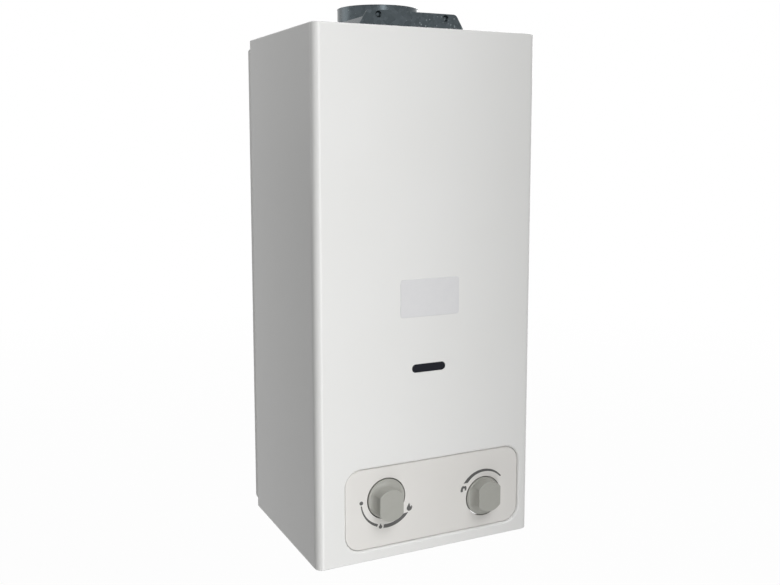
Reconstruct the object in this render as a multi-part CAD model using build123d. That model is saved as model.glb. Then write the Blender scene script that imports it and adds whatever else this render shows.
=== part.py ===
from build123d import *
import os
from math import cos, pi, radians, sin, tan

os.makedirs("parts", exist_ok=True)

# Wall-hung tankless gas water heater. Millimetres, +Z up, the front faces -Y.
# The back of the pan lies on the wall at y = 0 and the two keyholes are level with z = 0.

# Casing
case_width = 260.0
case_height = 560.0
cover_depth = 198.0
pan_reveal = 13.0
cover_sheet = 0.8
cover_corner = 8.0
cover_edge = 1.5
cover_lip = 14.0
keyhole_drop = 48.0

# Clearances
fit_gap = 0.3
overrun = 5.0
hair = 0.01

# Control panel and fascia
panel_left_margin = 32.5
panel_right_margin = 13.5
panel_height = 89.0
panel_corner = 18.0
panel_rise = 12.5
panel_rim = 2.8
fascia_thickness = 2.2
fascia_step = 2.6
fascia_edge = 0.6
fascia_gap = 0.6
fascia_lip = 0.5
well_relief = 2.0
collar_wall = 1.8
collar_depth = 7.0
collar_gap = 1.0
peg_width = 8.0
peg_thickness = 1.6
peg_reach = 3.4
peg_barb = 0.7
peg_margin = 9.0
peg_spread_share = 0.36

# Knobs
knob_hole = 45.0
knob_gap = 1.0
knob_front = 1.0
knob_back = 5.0
knob_height = 14.5
knob_wall = 2.2
knob_edge = 0.7
grip_half = 13.8
grip_foot_half = 19.4
grip_end = 13.5
grip_inset = 0.2
grip_edge = 0.8
grip_rise_shares = (0, 0.1, 0.3, 0.62, 1)
grip_flank_shares = (1, 0.56, 0.24, 0.06, 0)
hub_radius = 6.5
hub_back = 14.0
gas_knob_share = 0.2248
gas_knob_rise = 65.5
water_knob_share = 0.7907
water_knob_rise = 47.8

# Spindles
spindle_radius = 3.0
spindle_gap = 0.05
spindle_flat = 1.0
spindle_flat_length = 12.0
spindle_tip = 2.6
spindle_hold = 11.0
spindle_collar_radius = 5.0
spindle_collar = 2.0

# Sight slot, glass and clip
slot_length = 40.5
slot_height = 9.2
slot_rise = 204.0
glass_length = 56.0
glass_height = 22.0
glass_thickness = 3.0
clip_length = 72.0
clip_height = 28.0
clip_sheet = 0.8
clip_foot = 6.0
clip_view = 1.5

# Back pan
pan_sheet = 0.8
pan_flange = 26.0
pan_bend = 2.5
pan_end_gap = 10.0
pan_notch_deep = 6.0
pan_notch_tall = 2.5
keyhole_spacing = 150.0
keyhole_radius = 6.0
keyslot_radius = 3.2
keyslot_rise = 11.0
foot_hole_radius = 3.0
foot_hole_rise = 128.0
bead_radius = 4.0
bead_x = 35.0
bead_low_rise = 215.0
bead_high_rise = 430.0

# Draught hood, its front plate and baffle
hood_front = 40.0
hood_sheet = 0.8
hood_side_gap = 30.0
hood_top_half = 57.5
hood_foot_rise = 450.0
hood_shoulder_rise = 503.0
hood_top_lift = 13.0
hood_flange = 10.0
plate_top_lift = 20.6
plate_corner = 6.0
dimple_spacing = 80.2
dimple_lift = 16.0
dimple_radius = 3.5
dimple_floor = 1.7
dimple_depth = 2.4
dimple_relief = 1.2
baffle_overlap = 4.5
baffle_dip = 14.0
baffle_rise = 520.0
baffle_sheet = 0.8
baffle_end_gap = 18.0
baffle_leg = 12.0

# Flue collar
flue_bore = 45.2
flue_sheet = 0.9
flue_height = 20.0
flue_flange = 6.0
flue_flange_sheet = 0.8
flue_lip = 0.3
flue_back = 127.5
rivet_radius = 1.6
rivet_head = 2.6
rivet_head_height = 0.9
rivet_count = 4

# Heat exchanger
shell_side_gap = 38.0
shell_depth = 120.0
shell_sheet = 0.8
shell_corner = 12.0
shell_rise = 196.0
shell_height = 196.0
fin_height = 54.0
fin_pitch = 6.0
fin_gap = 5.1
fin_rim = 1.2
fin_tube = 8.0
bend_offset = 38.0
bend_tube = 7.0
bend_bore = 6.2
bend_stub = 3.0
coil_radius = 6.0
coil_bore = 5.2
coil_foot_gap = 44.0
coil_head_gap = 32.0
elbow_size = 18.0
elbow_edge = 2.0
outlet_side_gap = 18.4
window_half = 24.0
window_height = 18.0

# Burner
tray_side_inset = 4.0
tray_end_inset = 2.0
tray_sheet = 1.0
tray_rise = 148.0
tray_flange = 4.0
tray_ledge = 9.0
bar_pitch = 21.0
bar_width = 13.0
bar_end_gap = 2.0
bar_height = 40.0
bar_sheet = 1.0
port_margin = 6.0
port_pitch = 8.0
port_width = 1.6
port_length = 9.0
port_depth = 4.0
venturi_radius = 4.5
venturi_rise = 12.0
manifold_size = 16.0
manifold_wall = 1.5
manifold_inset = 4.0
manifold_gap = 6.0
lug_width = 6.0
injector_radius = 3.6
injector_length = 4.0
nozzle_radius = 2.2
nozzle_length = 3.4
injector_hole = 5.0
riser_radius = 7.0
riser_bore = 6.0
riser_bend = 12.0
riser_turn = 16.0

# Gas valve
valve_back = 93.0
rod_rise = 55.0
gas_half = 27.0
gas_depth_half = 28.0
gas_low_rise = 38.0
gas_high_rise = 92.0
gas_edge = 4.0
gas_boss_radius = 13.0
gas_boss = 9.0
gas_cavity = 13.0
seat_radius = 8.0
seat_inset = 11.6
seat_length = 6.0
cap_radius = 16.0
cap_height = 4.0
cap_plug = 6.0
cap_gap = 0.08
poppet_radius = 10.5
poppet_thickness = 4.0
spring_radius = 7.0
spring_wire = 0.6
spring_turns = 7
solenoid_radius = 12.0
solenoid_length = 34.0
solenoid_nut = 8.0
solenoid_nut_height = 4.0

# Water valve
valve_spacing = 22.4
disc_radius = 34.0
cover_thick = 14.0
chamber_radius = 25.0
chamber_depth = 8.0
diaphragm_thickness = 1.5
diaphragm_radius = 33.0
plate_radius = 20.0
plate_thick = 2.0
rod_radius = 2.5
rod_gap = 0.06
neck_radius = 8.0
neck_length = 4.0
flange_screw_circle = 29.5
flange_screw_count = 6
flange_screw_radius = 1.9
flange_screw_hole = 2.1
flange_screw_head = 3.4
flange_screw_head_height = 2.6
arm_past_coil = 11.7
arm_depth_half = 17.0
arm_low_rise = 32.0
arm_high_rise = 76.0
arm_edge = 4.0
water_boss_radius = 12.0
water_boss = 9.0
standoff_radius = 4.0
standoff_offset = 19.0
drain_inset = 10.0
drain_radius = 7.0
drain_length = 7.0
drain_neck = 4.5
drain_neck_length = 3.0

# Microswitch
switch_length = 16.0
switch_width = 7.0
switch_height = 10.0
switch_lift = 12.0
switch_collar_radius = 6.0
switch_collar_width = 4.0
switch_collar_gap = 9.0
lever_thickness = 0.6
lever_width = 2.0
lever_offset = 4.4
lever_drop = 13.0
lever_pin = 0.6
lever_boss = 1.4
lever_gap = 0.05
switch_ear = 1.2

# Unions and connection bracket
thread_radius = 10.48
thread_drop = 20.0
thread_rise = 4.0
shank_radius = 10.2
union_bore = 7.0
union_hex = 28.0
union_hex_height = 8.0
lock_nut_height = 6.5
union_neck = 8.5
union_neck_bore = 6.0
hot_side_gap = 30.0
cold_inset = 30.0
hot_nut_gap = 2.0
outlet_bend = 14.0
outlet_high_rise = 186.0
outlet_low_rise = 130.0
pipe_nut = 22.0
pipe_nut_height = 14.0
bracket_rise = 12.0
bracket_sheet = 1.2
bracket_side_gap = 12.0
bracket_bar_half = 20.0
bracket_arm = 20.0
bracket_upturn = 16.0
ear_reach = 9.0
ear_width = 16.0
ear_depth_back = 108.0
tongue_half = 21.0
tongue_upturn = 20.0
cover_screw_radius = 2.0
cover_screw_hole = 2.3
cover_screw_head = 4.0
cover_screw_head_height = 2.2
cover_screw_length = 7.0

# Chassis brackets between the pan and the exchanger or burner
chassis_inset = 32.0
chassis_width = 18.0
chassis_sheet = 1.2
chassis_tab = 12.0
chassis_shell_rise = 268.0
chassis_tray_rise = 166.0

# Ignition controller, batteries and box
controller_x = 42.0
controller_width = 62.0
controller_height = 58.0
controller_depth = 26.0
controller_rise = 46.0
controller_edge = 2.0
controller_foot = 8.0
controller_foot_height = 2.0
socket_width = 12.0
socket_depth = 9.0
socket_height = 4.0
socket_pitch = 15.0
box_back = 16.0
box_wall = 2.0
box_rise = 4.6
cell_radius = 17.1
cell_height = 59.0
cell_nub = 4.75
cell_nub_height = 2.0
cell_gap = 0.6
cell_lift = 4.0
pad_radius = 6.0
contact_sheet = 0.5
contact_width = 12.0
lid_thickness = 2.4
lid_gap = 0.4
lid_pin = 1.5
lid_pin_gap = 0.06
lid_knuckle = 3.0
lid_pin_length = 30.0
lid_drop = 0.4
lid_finger = 9.0
lid_finger_depth = 1.2

# Electrodes and thermostats
electrode_x = 42.0
electrode_rise = 212.0
electrode_radius = 3.5
electrode_hole = 3.8
electrode_front = 26.0
electrode_inside = 8.0
tip_radius = 1.0
tip_length = 26.0
tip_bend = 4.0
tip_drop = 6.0
holder_sheet = 1.0
holder_height = 16.0
holder_margin = 10.0
thermo_radius = 8.0
thermo_height = 7.0
thermo_flange = 11.5
thermo_flange_sheet = 0.8
overheat_inset = 34.0
spill_inset = 34.0
spill_rise = 470.0

# Leads
lead_radius = 1.3
spark_lead_radius = 2.2
lead_bend = 8.0
lead_lane_back = 24.0
lead_side_gap = 16.0
lead_loom_rise = 120.0
lead_spark_rise = 130.0
lead_sensor_rise = 138.0
lead_side_step = 18.0
lead_side_drop = 6.0

# Small fixings
fix_radius = 1.6
fix_hole = 1.9
fix_head = 3.4
fix_head_height = 1.8
fix_length = 5.0
hood_fix_rise = 478.0
hood_fix_inset = 5.0

# Places worked out from the sizes above
half_width = case_width / 2
top = keyhole_drop
bottom = top - case_height
front = -(cover_depth + pan_reveal)
cover_rear = -pan_reveal
pocket_depth = fascia_step + fascia_thickness
panel_width = case_width - panel_left_margin - panel_right_margin
panel_left = panel_left_margin - half_width
panel_shift = panel_left + panel_width / 2
panel_z = bottom + panel_rise + panel_height / 2
gas_knob_x = panel_left + panel_width * gas_knob_share
water_knob_x = panel_left + panel_width * water_knob_share
knob_radius = knob_hole / 2 - knob_gap
well_radius = knob_hole / 2 + well_relief
hood_top = top + hood_top_lift
flue_y = front + flue_back
hood_base_half = half_width - hood_side_gap
baffle_half = hood_top_half + baffle_overlap
shell_half = half_width - shell_side_gap
shell_front = flue_y - shell_depth / 2
shell_rear = flue_y + shell_depth / 2
tray_half = shell_half - tray_side_inset
tray_front = shell_front + tray_end_inset
tray_rear = shell_rear - tray_end_inset
bar_depth = tray_rear - tray_front - 2 * (tray_sheet + bar_end_gap)
manifold_half = tray_half - manifold_inset
outlet_x = outlet_side_gap - half_width
coil_offset = coil_radius + fit_gap
coil_x = shell_half + coil_offset
coil_bend = shell_corner + coil_offset
valve_y = front + valve_back
gas_left = gas_knob_x - gas_half
gas_right = gas_knob_x + gas_half
water_left_x = gas_right + valve_spacing
water_right_x = water_left_x + cover_thick
body_left_x = water_right_x + diaphragm_thickness
arm_right_x = coil_x + arm_past_coil
drain_x = arm_right_x - drain_inset
cold_union_x = arm_right_x - cold_inset
hot_union_x = hot_side_gap - half_width
hot_union_rise = rod_rise + cap_radius + hot_nut_gap
switch_collar_x = water_left_x - switch_collar_gap
bracket_half = half_width - bracket_side_gap
chassis_x = shell_half - chassis_inset
overheat_x = shell_half - overheat_inset
spill_x = hood_base_half - spill_inset
lead_lane_x = half_width - lead_side_gap
box_x = (gas_knob_x + water_knob_x) / 2
box_width = 4 * cell_radius + 3 * cell_gap + 2 * box_wall
box_depth = 2 * (cell_radius + cell_gap + box_wall)
manifold_y = tray_front - manifold_gap - manifold_size / 2


def up(rise):
    """Height of a place that is measured up from the cover's lower edge."""
    return bottom + rise


def back(depth):
    """Place in y that is measured back from the cover's front face."""
    return front + depth


def block(x_span, y_span, z_span):
    """A box between two limits on each axis."""
    spans = (x_span, y_span, z_span)
    centre = [(low + high) / 2 for low, high in spans]
    return Pos(*centre) * Box(*[abs(high - low) for low, high in spans])


def bar(start, end, radius):
    """A round bar between two points."""
    run = Vector(*end) - Vector(*start)
    return extrude(Plane(start, z_dir=run) * Circle(radius), run.length)


def hexagon(start, end, across):
    """A hexagonal bar between two points, by its size across flats."""
    run = Vector(*end) - Vector(*start)
    section = RegularPolygon(across / 2, 6, major_radius=False)
    return extrude(Plane(start, z_dir=run) * section, run.length)


def bent_path(points, bend):
    """Straight runs through a row of points, joined by tangent arcs of one radius."""
    corners = [Vector(*point) for point in points]
    start, edges = corners[0], []
    for before, corner, after in zip(corners, corners[1:], corners[2:]):
        inward, onward = (corner - before).normalized(), (after - corner).normalized()
        half_turn = radians(inward.get_angle(onward)) / 2
        reach = bend * tan(half_turn)
        entry, leave = corner - inward * reach, corner + onward * reach
        middle = corner + (onward - inward).normalized() * (bend / cos(half_turn) - bend)
        edges += [Line(start, entry), ThreePointArc(entry, middle, leave)]
        start = leave
    edges.append(Line(start, corners[-1]))
    return Wire(edges)


def run_of(points, radius, bore, bend):
    """A tube, or a solid lead if its bore is 0, along bent straight runs."""
    path = bent_path(points, bend)
    section = Circle(radius) - Circle(bore) if bore else Circle(radius)
    return sweep(Plane(path @ 0, z_dir=path % 0) * section, path)


def facing(y):
    """The upright plane at y that looks out of the front."""
    return Plane((0, y, 0), x_dir=(1, 0, 0), z_dir=(0, -1, 0))


def slab(sketch, near, far):
    """A sketch in x and z, made solid from y = near back to y = far."""
    return extrude(facing(near) * sketch, near - far)


def outline(points):
    """A flat face inside a closed row of corners."""
    return make_face(Polyline(*points, close=True))


def group(pieces):
    """Several loose solids kept as one node."""
    solids = [solid for piece in pieces for solid in piece.solids()]
    return Compound(children=solids)


def around(count, radius):
    """Evenly spaced places on a circle, as pairs."""
    return [(radius * cos(2 * pi * n / count), radius * sin(2 * pi * n / count)) for n in range(count)]


def cover_prism(inset, rear, low, high):
    """The cover's plan, moved in by an inset and made as tall as asked."""
    depth = rear - front - inset
    plan = Pos(0, front + inset + depth / 2) * Rectangle(case_width - 2 * inset, depth)
    if inset < cover_corner:
        plan = fillet(plan.vertices().sort_by(Axis.Y)[:2], cover_corner - inset)
    return extrude(Pos(0, 0, low) * plan, high - low)


def soft_ends(prism, rear, radius):
    """Round a prism's edges at both ends, but not along its open rear."""
    ends = prism.edges().group_by(Axis.Z)
    return fillet([e for e in ends[0] + ends[-1] if e.center().Y < rear - radius], radius)


def panel_face(grow):
    """The control panel's rounded outline, grown all round."""
    return Pos(panel_shift, panel_z) * RectangleRounded(
        panel_width + 2 * grow, panel_height + 2 * grow, panel_corner + grow
    )


def knob_places():
    """The two knob centres, in x and z."""
    return [(gas_knob_x, up(gas_knob_rise)), (water_knob_x, up(water_knob_rise))]


def peg_places():
    """The four fascia pegs: x, z and which way the barb points."""
    spread = panel_width * peg_spread_share
    reach = panel_height / 2 - peg_margin
    return [
        (panel_shift + side * spread, panel_z + end * reach, end) for side in (-1, 1) for end in (-1, 1)
    ]


def cover_screw_places():
    """Where the cover is screwed to the connection bracket's ears."""
    x = bracket_half + ear_reach / 2
    return [(side * x, back(ear_depth_back)) for side in (-1, 1)]


def pocket_edges(shell, y):
    """The cover's edges round the panel's pocket, on the face at y."""
    reach = cover_sheet + hair
    return [
        e
        for e in shell.edges().filter_by_position(Axis.Y, y - hair, y + hair)
        if abs(e.center().X - panel_shift) < panel_width / 2 + reach
        and abs(e.center().Z - panel_z) < panel_height / 2 + reach
    ]


def front_cover():
    """Folded cover: front, two sides, lips at both ends, and the panel's pressed pocket."""
    shell = soft_ends(cover_prism(0, cover_rear, bottom, top), cover_rear, cover_edge)
    room = cover_prism(cover_sheet, cover_rear + overrun, bottom + cover_sheet, top - cover_sheet)
    shell -= soft_ends(room, cover_rear + overrun, cover_edge - cover_sheet)
    shell -= cover_prism(cover_lip, cover_rear + overrun, bottom - overrun, top + overrun)
    shell += slab(panel_face(cover_sheet), front, front + pocket_depth + cover_sheet)
    shell -= slab(panel_face(0), front - overrun, front + pocket_depth)
    shell = fillet(pocket_edges(shell, front + cover_sheet), panel_rim - cover_sheet)
    shell = fillet(pocket_edges(shell, front), panel_rim)
    floor = front + pocket_depth
    for x, z in knob_places():
        hole = Pos(x, z) * Circle(well_radius + collar_wall + collar_gap)
        shell -= slab(hole, floor - hair, floor + cover_sheet + overrun)
    for x, z, _ in peg_places():
        slit = Pos(x, z) * Rectangle(peg_width + 2 * fit_gap, peg_thickness + 2 * fit_gap)
        shell -= slab(slit, floor - hair, floor + cover_sheet + overrun)
    sight = Pos(0, up(slot_rise)) * SlotOverall(slot_length, slot_height)
    shell -= slab(sight, front - overrun, front + cover_sheet + overrun)
    for x, y in cover_screw_places():
        shell -= bar((x, y, bottom - overrun), (x, y, bottom + overrun), cover_screw_hole)
    return shell


def fascia_peg(x, z, end):
    """A barbed peg behind the fascia, which snaps through the cover's pocket."""
    root = front + pocket_depth
    catch = root + cover_sheet + fit_gap
    tip = catch + peg_reach
    inner, outer = z - end * peg_thickness / 2, z + end * peg_thickness / 2
    barb = outer + end * peg_barb
    profile = outline(
        [(root, inner), (root, outer), (catch, outer), (catch, barb), (tip, outer), (tip, inner)]
    )
    side = Plane((x - peg_width / 2, 0, 0), x_dir=(0, 1, 0), z_dir=(1, 0, 0))
    return extrude(side * profile, peg_width)


def control_fascia():
    """Moulded panel that carries the dial marks, with a round well, wider behind its lip, for each knob."""
    near, far = front + fascia_step, front + pocket_depth
    plate = slab(panel_face(-fascia_gap), near, far)
    plate = fillet(plate.edges().group_by(Axis.Y)[0], fascia_edge)
    for x, z in knob_places():
        plate += slab(Pos(x, z) * Circle(well_radius + collar_wall), far, far + collar_depth)
    for x, z, end in peg_places():
        plate += fascia_peg(x, z, end)
    for x, z in knob_places():
        plate -= slab(Pos(x, z) * Circle(knob_hole / 2), near - overrun, far + overrun)
        plate -= slab(Pos(x, z) * Circle(well_radius), near + fascia_lip, far + collar_depth + overrun)
    return plate


def grip_section(rise_share, flank_share):
    """One level of the knob's grip: a round cut off by two flat sides, with its pointer end kept."""
    pointer = knob_radius - knob_edge - grip_inset
    end = grip_end + flank_share * (pointer - grip_end)
    half = grip_half + flank_share * (grip_foot_half - grip_half)
    radius = (pointer + end) / 2
    face = (Pos(0, pointer - radius) * Circle(radius)) & Rectangle(2 * half, 4 * radius)
    return Pos(0, 0, knob_front + rise_share * (knob_height - knob_front)) * face


def d_bar(low, high, radius, flat):
    """A round bar along local z with one flat."""
    stock = Pos(0, 0, low) * extrude(Circle(radius), high - low)
    side = Pos(0, radius - flat + radius, (low + high) / 2)
    return stock - side * Box(4 * radius, 2 * radius, 2 * (high - low))


def knob_form():
    """A knob with its axis along local z, the fascia's face at 0 and its pointer end up."""
    skirt = Pos(0, 0, -knob_back) * extrude(Circle(knob_radius), knob_back + knob_front)
    skirt = fillet(skirt.edges().group_by(Axis.Z)[-1], knob_edge)
    levels = zip(grip_rise_shares, grip_flank_shares)
    grip = loft([grip_section(rise_share, flank_share) for rise_share, flank_share in levels])
    grip = fillet(grip.edges().group_by(Axis.Z)[-1], grip_edge)
    form = skirt + grip
    form -= Pos(0, 0, -knob_back) * extrude(Circle(knob_radius - knob_wall), knob_back)
    form += Pos(0, 0, -hub_back) * extrude(Circle(hub_radius), hub_back + knob_front)
    reach = -spindle_tip + fit_gap
    form -= d_bar(-hub_back, reach, spindle_radius + spindle_gap, spindle_flat)
    return form


def placed_knob(x, rise, turn):
    """A knob on its spindle's axis, turned about it."""
    at = Plane((x, front + fascia_step, up(rise)), x_dir=(1, 0, 0), z_dir=(0, -1, 0))
    return at * (Rot(0, 0, turn) * knob_form())


def gas_knob():
    """Gas knob, its pointer end down as in the photo."""
    return placed_knob(gas_knob_x, gas_knob_rise, 180)


def water_knob():
    """Water knob, its pointer end up."""
    return placed_knob(water_knob_x, water_knob_rise, 0)


def spindle(x, rise, seat, turn):
    """A flatted spindle from inside a valve's boss to inside its knob, with a stop collar."""
    face = front + fascia_step
    at = Plane((x, face, up(rise)), x_dir=(1, 0, 0), z_dir=(0, -1, 0))
    deep = face - (seat + spindle_hold)
    rod = bar((0, 0, deep), (0, 0, -spindle_tip - spindle_flat_length), spindle_radius)
    rod += d_bar(-spindle_tip - spindle_flat_length, -spindle_tip, spindle_radius, spindle_flat)
    rest = face - seat
    rod += bar((0, 0, rest), (0, 0, rest + spindle_collar), spindle_collar_radius)
    return at * (Rot(0, 0, turn) * rod)


def gas_spindle():
    """Spindle of the gas tap."""
    return spindle(gas_knob_x, gas_knob_rise, valve_y - gas_depth_half - gas_boss, 180)


def water_spindle():
    """Spindle of the water regulator."""
    return spindle(water_knob_x, water_knob_rise, valve_y - arm_depth_half - water_boss, 0)


def sight_glass():
    """Dark glass behind the slot, flat on the cover's inner face."""
    near = front + cover_sheet
    face = Pos(0, up(slot_rise)) * Rectangle(glass_length, glass_height)
    return slab(face, near, near + glass_thickness)


def sight_clip():
    """Pressed clip that holds the glass, with a foot at each end on the cover."""
    near = front + cover_sheet
    seat = near + glass_thickness
    centre = Pos(0, up(slot_rise))
    plate = slab(centre * Rectangle(clip_length, clip_height), seat, seat + clip_sheet)
    for side in (-1, 1):
        foot = Pos(side * (clip_length - clip_foot) / 2, up(slot_rise)) * Rectangle(clip_foot, clip_height)
        plate += slab(foot, near, seat + clip_sheet)
    view = SlotOverall(slot_length + 2 * clip_view, slot_height + 2 * clip_view)
    return plate - slab(centre * view, seat - overrun, seat + overrun)


def pan_profile(inset):
    """The pan's plan, moved in by an inset and open to the front."""
    width = case_width - 2 * (cover_sheet + fit_gap + inset)
    depth = pan_flange + (overrun if inset else 0) - inset
    plan = Pos(0, -inset - depth / 2) * Rectangle(width, depth)
    return fillet(plan.vertices().sort_by(Axis.Y)[-2:], pan_bend - inset)


def pan_bead(x):
    """One pressed stiffening bead: the part to add and the part to take away."""
    low, high = (x, 0, up(bead_low_rise)), (x, 0, up(bead_high_rise))
    parts = []
    for radius in (bead_radius, bead_radius - pan_sheet):
        shape = bar(low, high, radius) + Pos(*low) * Sphere(radius) + Pos(*high) * Sphere(radius)
        parts.append(shape)
    return parts


def back_pan():
    """Shallow pan on the wall, with keyholes, lower fixing holes and two pressed beads."""
    low, high = bottom + pan_end_gap, top - pan_end_gap
    pan = extrude(Pos(0, 0, low) * pan_profile(0), high - low)
    pan -= extrude(Pos(0, 0, low - overrun) * pan_profile(pan_sheet), high - low + 2 * overrun)
    keep = block((-half_width, half_width), (-2 * bead_radius, 0), (low, high))
    for side in (-1, 1):
        outer, inner = pan_bead(side * bead_x)
        pan = pan + (outer & keep) - inner
        x = side * keyhole_spacing / 2
        hole = Pos(x, 0) * Circle(keyhole_radius)
        hole += Pos(x, keyslot_rise / 2) * Rectangle(2 * keyslot_radius, keyslot_rise)
        hole += Pos(x, keyslot_rise) * Circle(keyslot_radius)
        hole += Pos(x, up(foot_hole_rise)) * Circle(foot_hole_radius)
        pan -= slab(hole, -overrun, overrun)
    for end, z in ((-1, low), (1, high)):
        wedge = outline([(0, z), (0, z - end * pan_notch_tall), (-pan_notch_deep, z)])
        cut = extrude(Plane((-half_width, 0, 0), x_dir=(0, 1, 0), z_dir=(1, 0, 0)) * wedge, case_width)
        middle = half_width - cover_sheet - fit_gap - 2 * pan_bend
        pan -= cut - block((-middle, middle), (-pan_flange, overrun), (z - overrun, z + overrun))
    return pan


def hood_slope():
    """How far the hood's side leans in for each step up."""
    return (hood_base_half - hood_top_half) / (hood_top - up(hood_shoulder_rise))


def hood_outline(half, foot, tall, half_top):
    """Upright lower walls, then slopes up to the top, as a closed outline in x and z."""
    shoulder = up(hood_shoulder_rise)
    left = [(-half, foot), (-half, shoulder), (-half_top, tall)]
    return outline(left + [(-x, z) for x, z in reversed(left)])


def hood_fix_places():
    """Screws of the hood's front plate, in x and z."""
    x = hood_base_half - hood_fix_inset
    return [(side * x, up(hood_fix_rise)) for side in (-1, 1)]


def draught_hood():
    """Folded hood over the exchanger: sloping sides, top with the flue hole, rear wall."""
    near, far = back(hood_front) + hood_sheet, -pan_sheet
    face = hood_outline(hood_base_half, up(hood_foot_rise), hood_top, hood_top_half)
    room = offset(face, -hood_sheet, kind=Kind.INTERSECTION)
    mouth = offset(face, -hood_flange, kind=Kind.INTERSECTION)
    hood = slab(face, near, far)
    for cut, start in ((room, near + hood_sheet), (mouth, near - overrun)):
        for drop in (0, hood_flange + overrun):
            hood -= slab(Pos(0, -drop) * cut, start, far - hood_sheet)
    hood -= bar((0, flue_y, hood_top - overrun), (0, flue_y, hood_top + overrun), flue_bore)
    for side in (-1, 1):
        relief = dimple_radius + hood_sheet + dimple_relief
        x = side * dimple_spacing / 2
        span = (near - overrun, near + dimple_depth + hood_sheet + dimple_relief)
        hood -= block((x - relief, x + relief), span, (hood_top - hood_flange, hood_top + overrun))
    for x, z in hood_fix_places():
        hood -= bar((x, near - overrun, z), (x, near + overrun, z), fix_hole)
    return hood


def dimple(x, z, near):
    """A pressed dimple that narrows to a flat floor at the back."""
    rim, rear = dimple_radius + hood_sheet, near + dimple_depth
    profile = [
        (0, rear),
        (dimple_floor, rear),
        (dimple_radius, near),
        (rim, near),
        (rim, near + hood_sheet),
        (dimple_floor + hood_sheet, rear + hood_sheet),
        (0, rear + hood_sheet),
    ]
    cup = revolve(outline(profile), Axis.Y)
    return Pos(x, 0, z) * cup


def hood_front_plate():
    """Flat plate that closes the hood's front and stands above it, with two dimples."""
    near = back(hood_front)
    far = near + hood_sheet
    tall = top + plate_top_lift
    half_top = hood_top_half - (tall - hood_top) * hood_slope()
    face = hood_outline(hood_base_half, up(hood_foot_rise), tall, half_top)
    plate = slab(fillet(face.vertices().group_by(Axis.Y)[-1], plate_corner), near, far)
    for side in (-1, 1):
        x, z = side * dimple_spacing / 2, top + dimple_lift
        plate -= slab(Pos(x, z) * Circle(dimple_radius + hood_sheet), near - overrun, far + overrun)
        plate += dimple(x, z, near)
    for x, z in hood_fix_places():
        plate -= bar((x, near - overrun, z), (x, near + overrun, z), fix_hole)
    return plate


def draught_baffle():
    """Bent plate under the flue hole, carried on legs from the hood's sloping sides."""
    z = up(baffle_rise)
    half_length = (-pan_sheet - hood_sheet - back(hood_front)) / 2 - baffle_end_gap
    middle = (back(hood_front) - pan_sheet) / 2
    wall = hood_base_half - (z - up(hood_shoulder_rise)) * hood_slope() - 2 * hood_sheet
    ridge = [(-baffle_half, z), (0, z - baffle_dip), (baffle_half, z)]
    thick = [(x, level + baffle_sheet) for x, level in reversed(ridge)]
    plate = slab(outline(ridge + thick), middle - half_length, middle + half_length)
    for side in (-1, 1):
        reach = (side * baffle_half, side * wall) if side > 0 else (-wall, -baffle_half)
        plate += block(reach, (middle - baffle_leg, middle + baffle_leg), (z, z + baffle_sheet))
    return plate


def flue_collar():
    """Spigot for the flue pipe: a flanged ring with a small outward lip at its mouth."""
    low, high = hood_top, hood_top + flue_height
    outer = flue_bore + flue_sheet
    ring = bar((0, flue_y, low), (0, flue_y, high), outer)
    ring += bar((0, flue_y, low), (0, flue_y, low + flue_flange_sheet), outer + flue_flange)
    lip = bar((0, flue_y, high - 2 * flue_lip), (0, flue_y, high), outer + flue_lip)
    ring += fillet(lip.edges().group_by(Axis.Z)[0] + lip.edges().group_by(Axis.Z)[-1], flue_lip - hair)
    ring -= bar((0, flue_y, low - overrun), (0, flue_y, high + overrun), flue_bore)
    for x, y in around(rivet_count, outer + flue_flange / 2):
        ring -= bar((x, flue_y + y, low - overrun), (x, flue_y + y, low + overrun), rivet_radius)
    return ring


def collar_rivets():
    """Four rivets through the collar's flange, their heads on it."""
    seat = hood_top + flue_flange_sheet
    pieces = []
    for x, y in around(rivet_count, flue_bore + flue_sheet + flue_flange / 2):
        stem = bar((x, flue_y + y, hood_top), (x, flue_y + y, seat), rivet_radius - spindle_gap)
        head = bar((x, flue_y + y, seat), (x, flue_y + y, seat + rivet_head_height), rivet_head)
        pieces.append(stem + head)
    return group(pieces)


def combustion_shell():
    """Copper box between the burner and the fins, open at both ends, with a viewing notch."""
    low = up(shell_rise)
    plan = RectangleRounded(2 * shell_half, shell_depth, shell_corner)
    inner = RectangleRounded(
        2 * (shell_half - shell_sheet), shell_depth - 2 * shell_sheet, shell_corner - shell_sheet
    )
    shell = extrude(Pos(0, flue_y, low) * (plan - inner), shell_height)
    shell -= block(
        (-window_half, window_half),
        (shell_front - overrun, shell_front + overrun),
        (low - overrun, low + window_height),
    )
    for side in (-1, 1):
        at = (side * electrode_x, shell_front - overrun, up(electrode_rise))
        shell -= bar(at, (at[0], shell_front + overrun, at[2]), electrode_hole)
    return shell


def fin_base():
    """Height of the fin block's lower face."""
    return up(shell_rise + shell_height)


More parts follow.
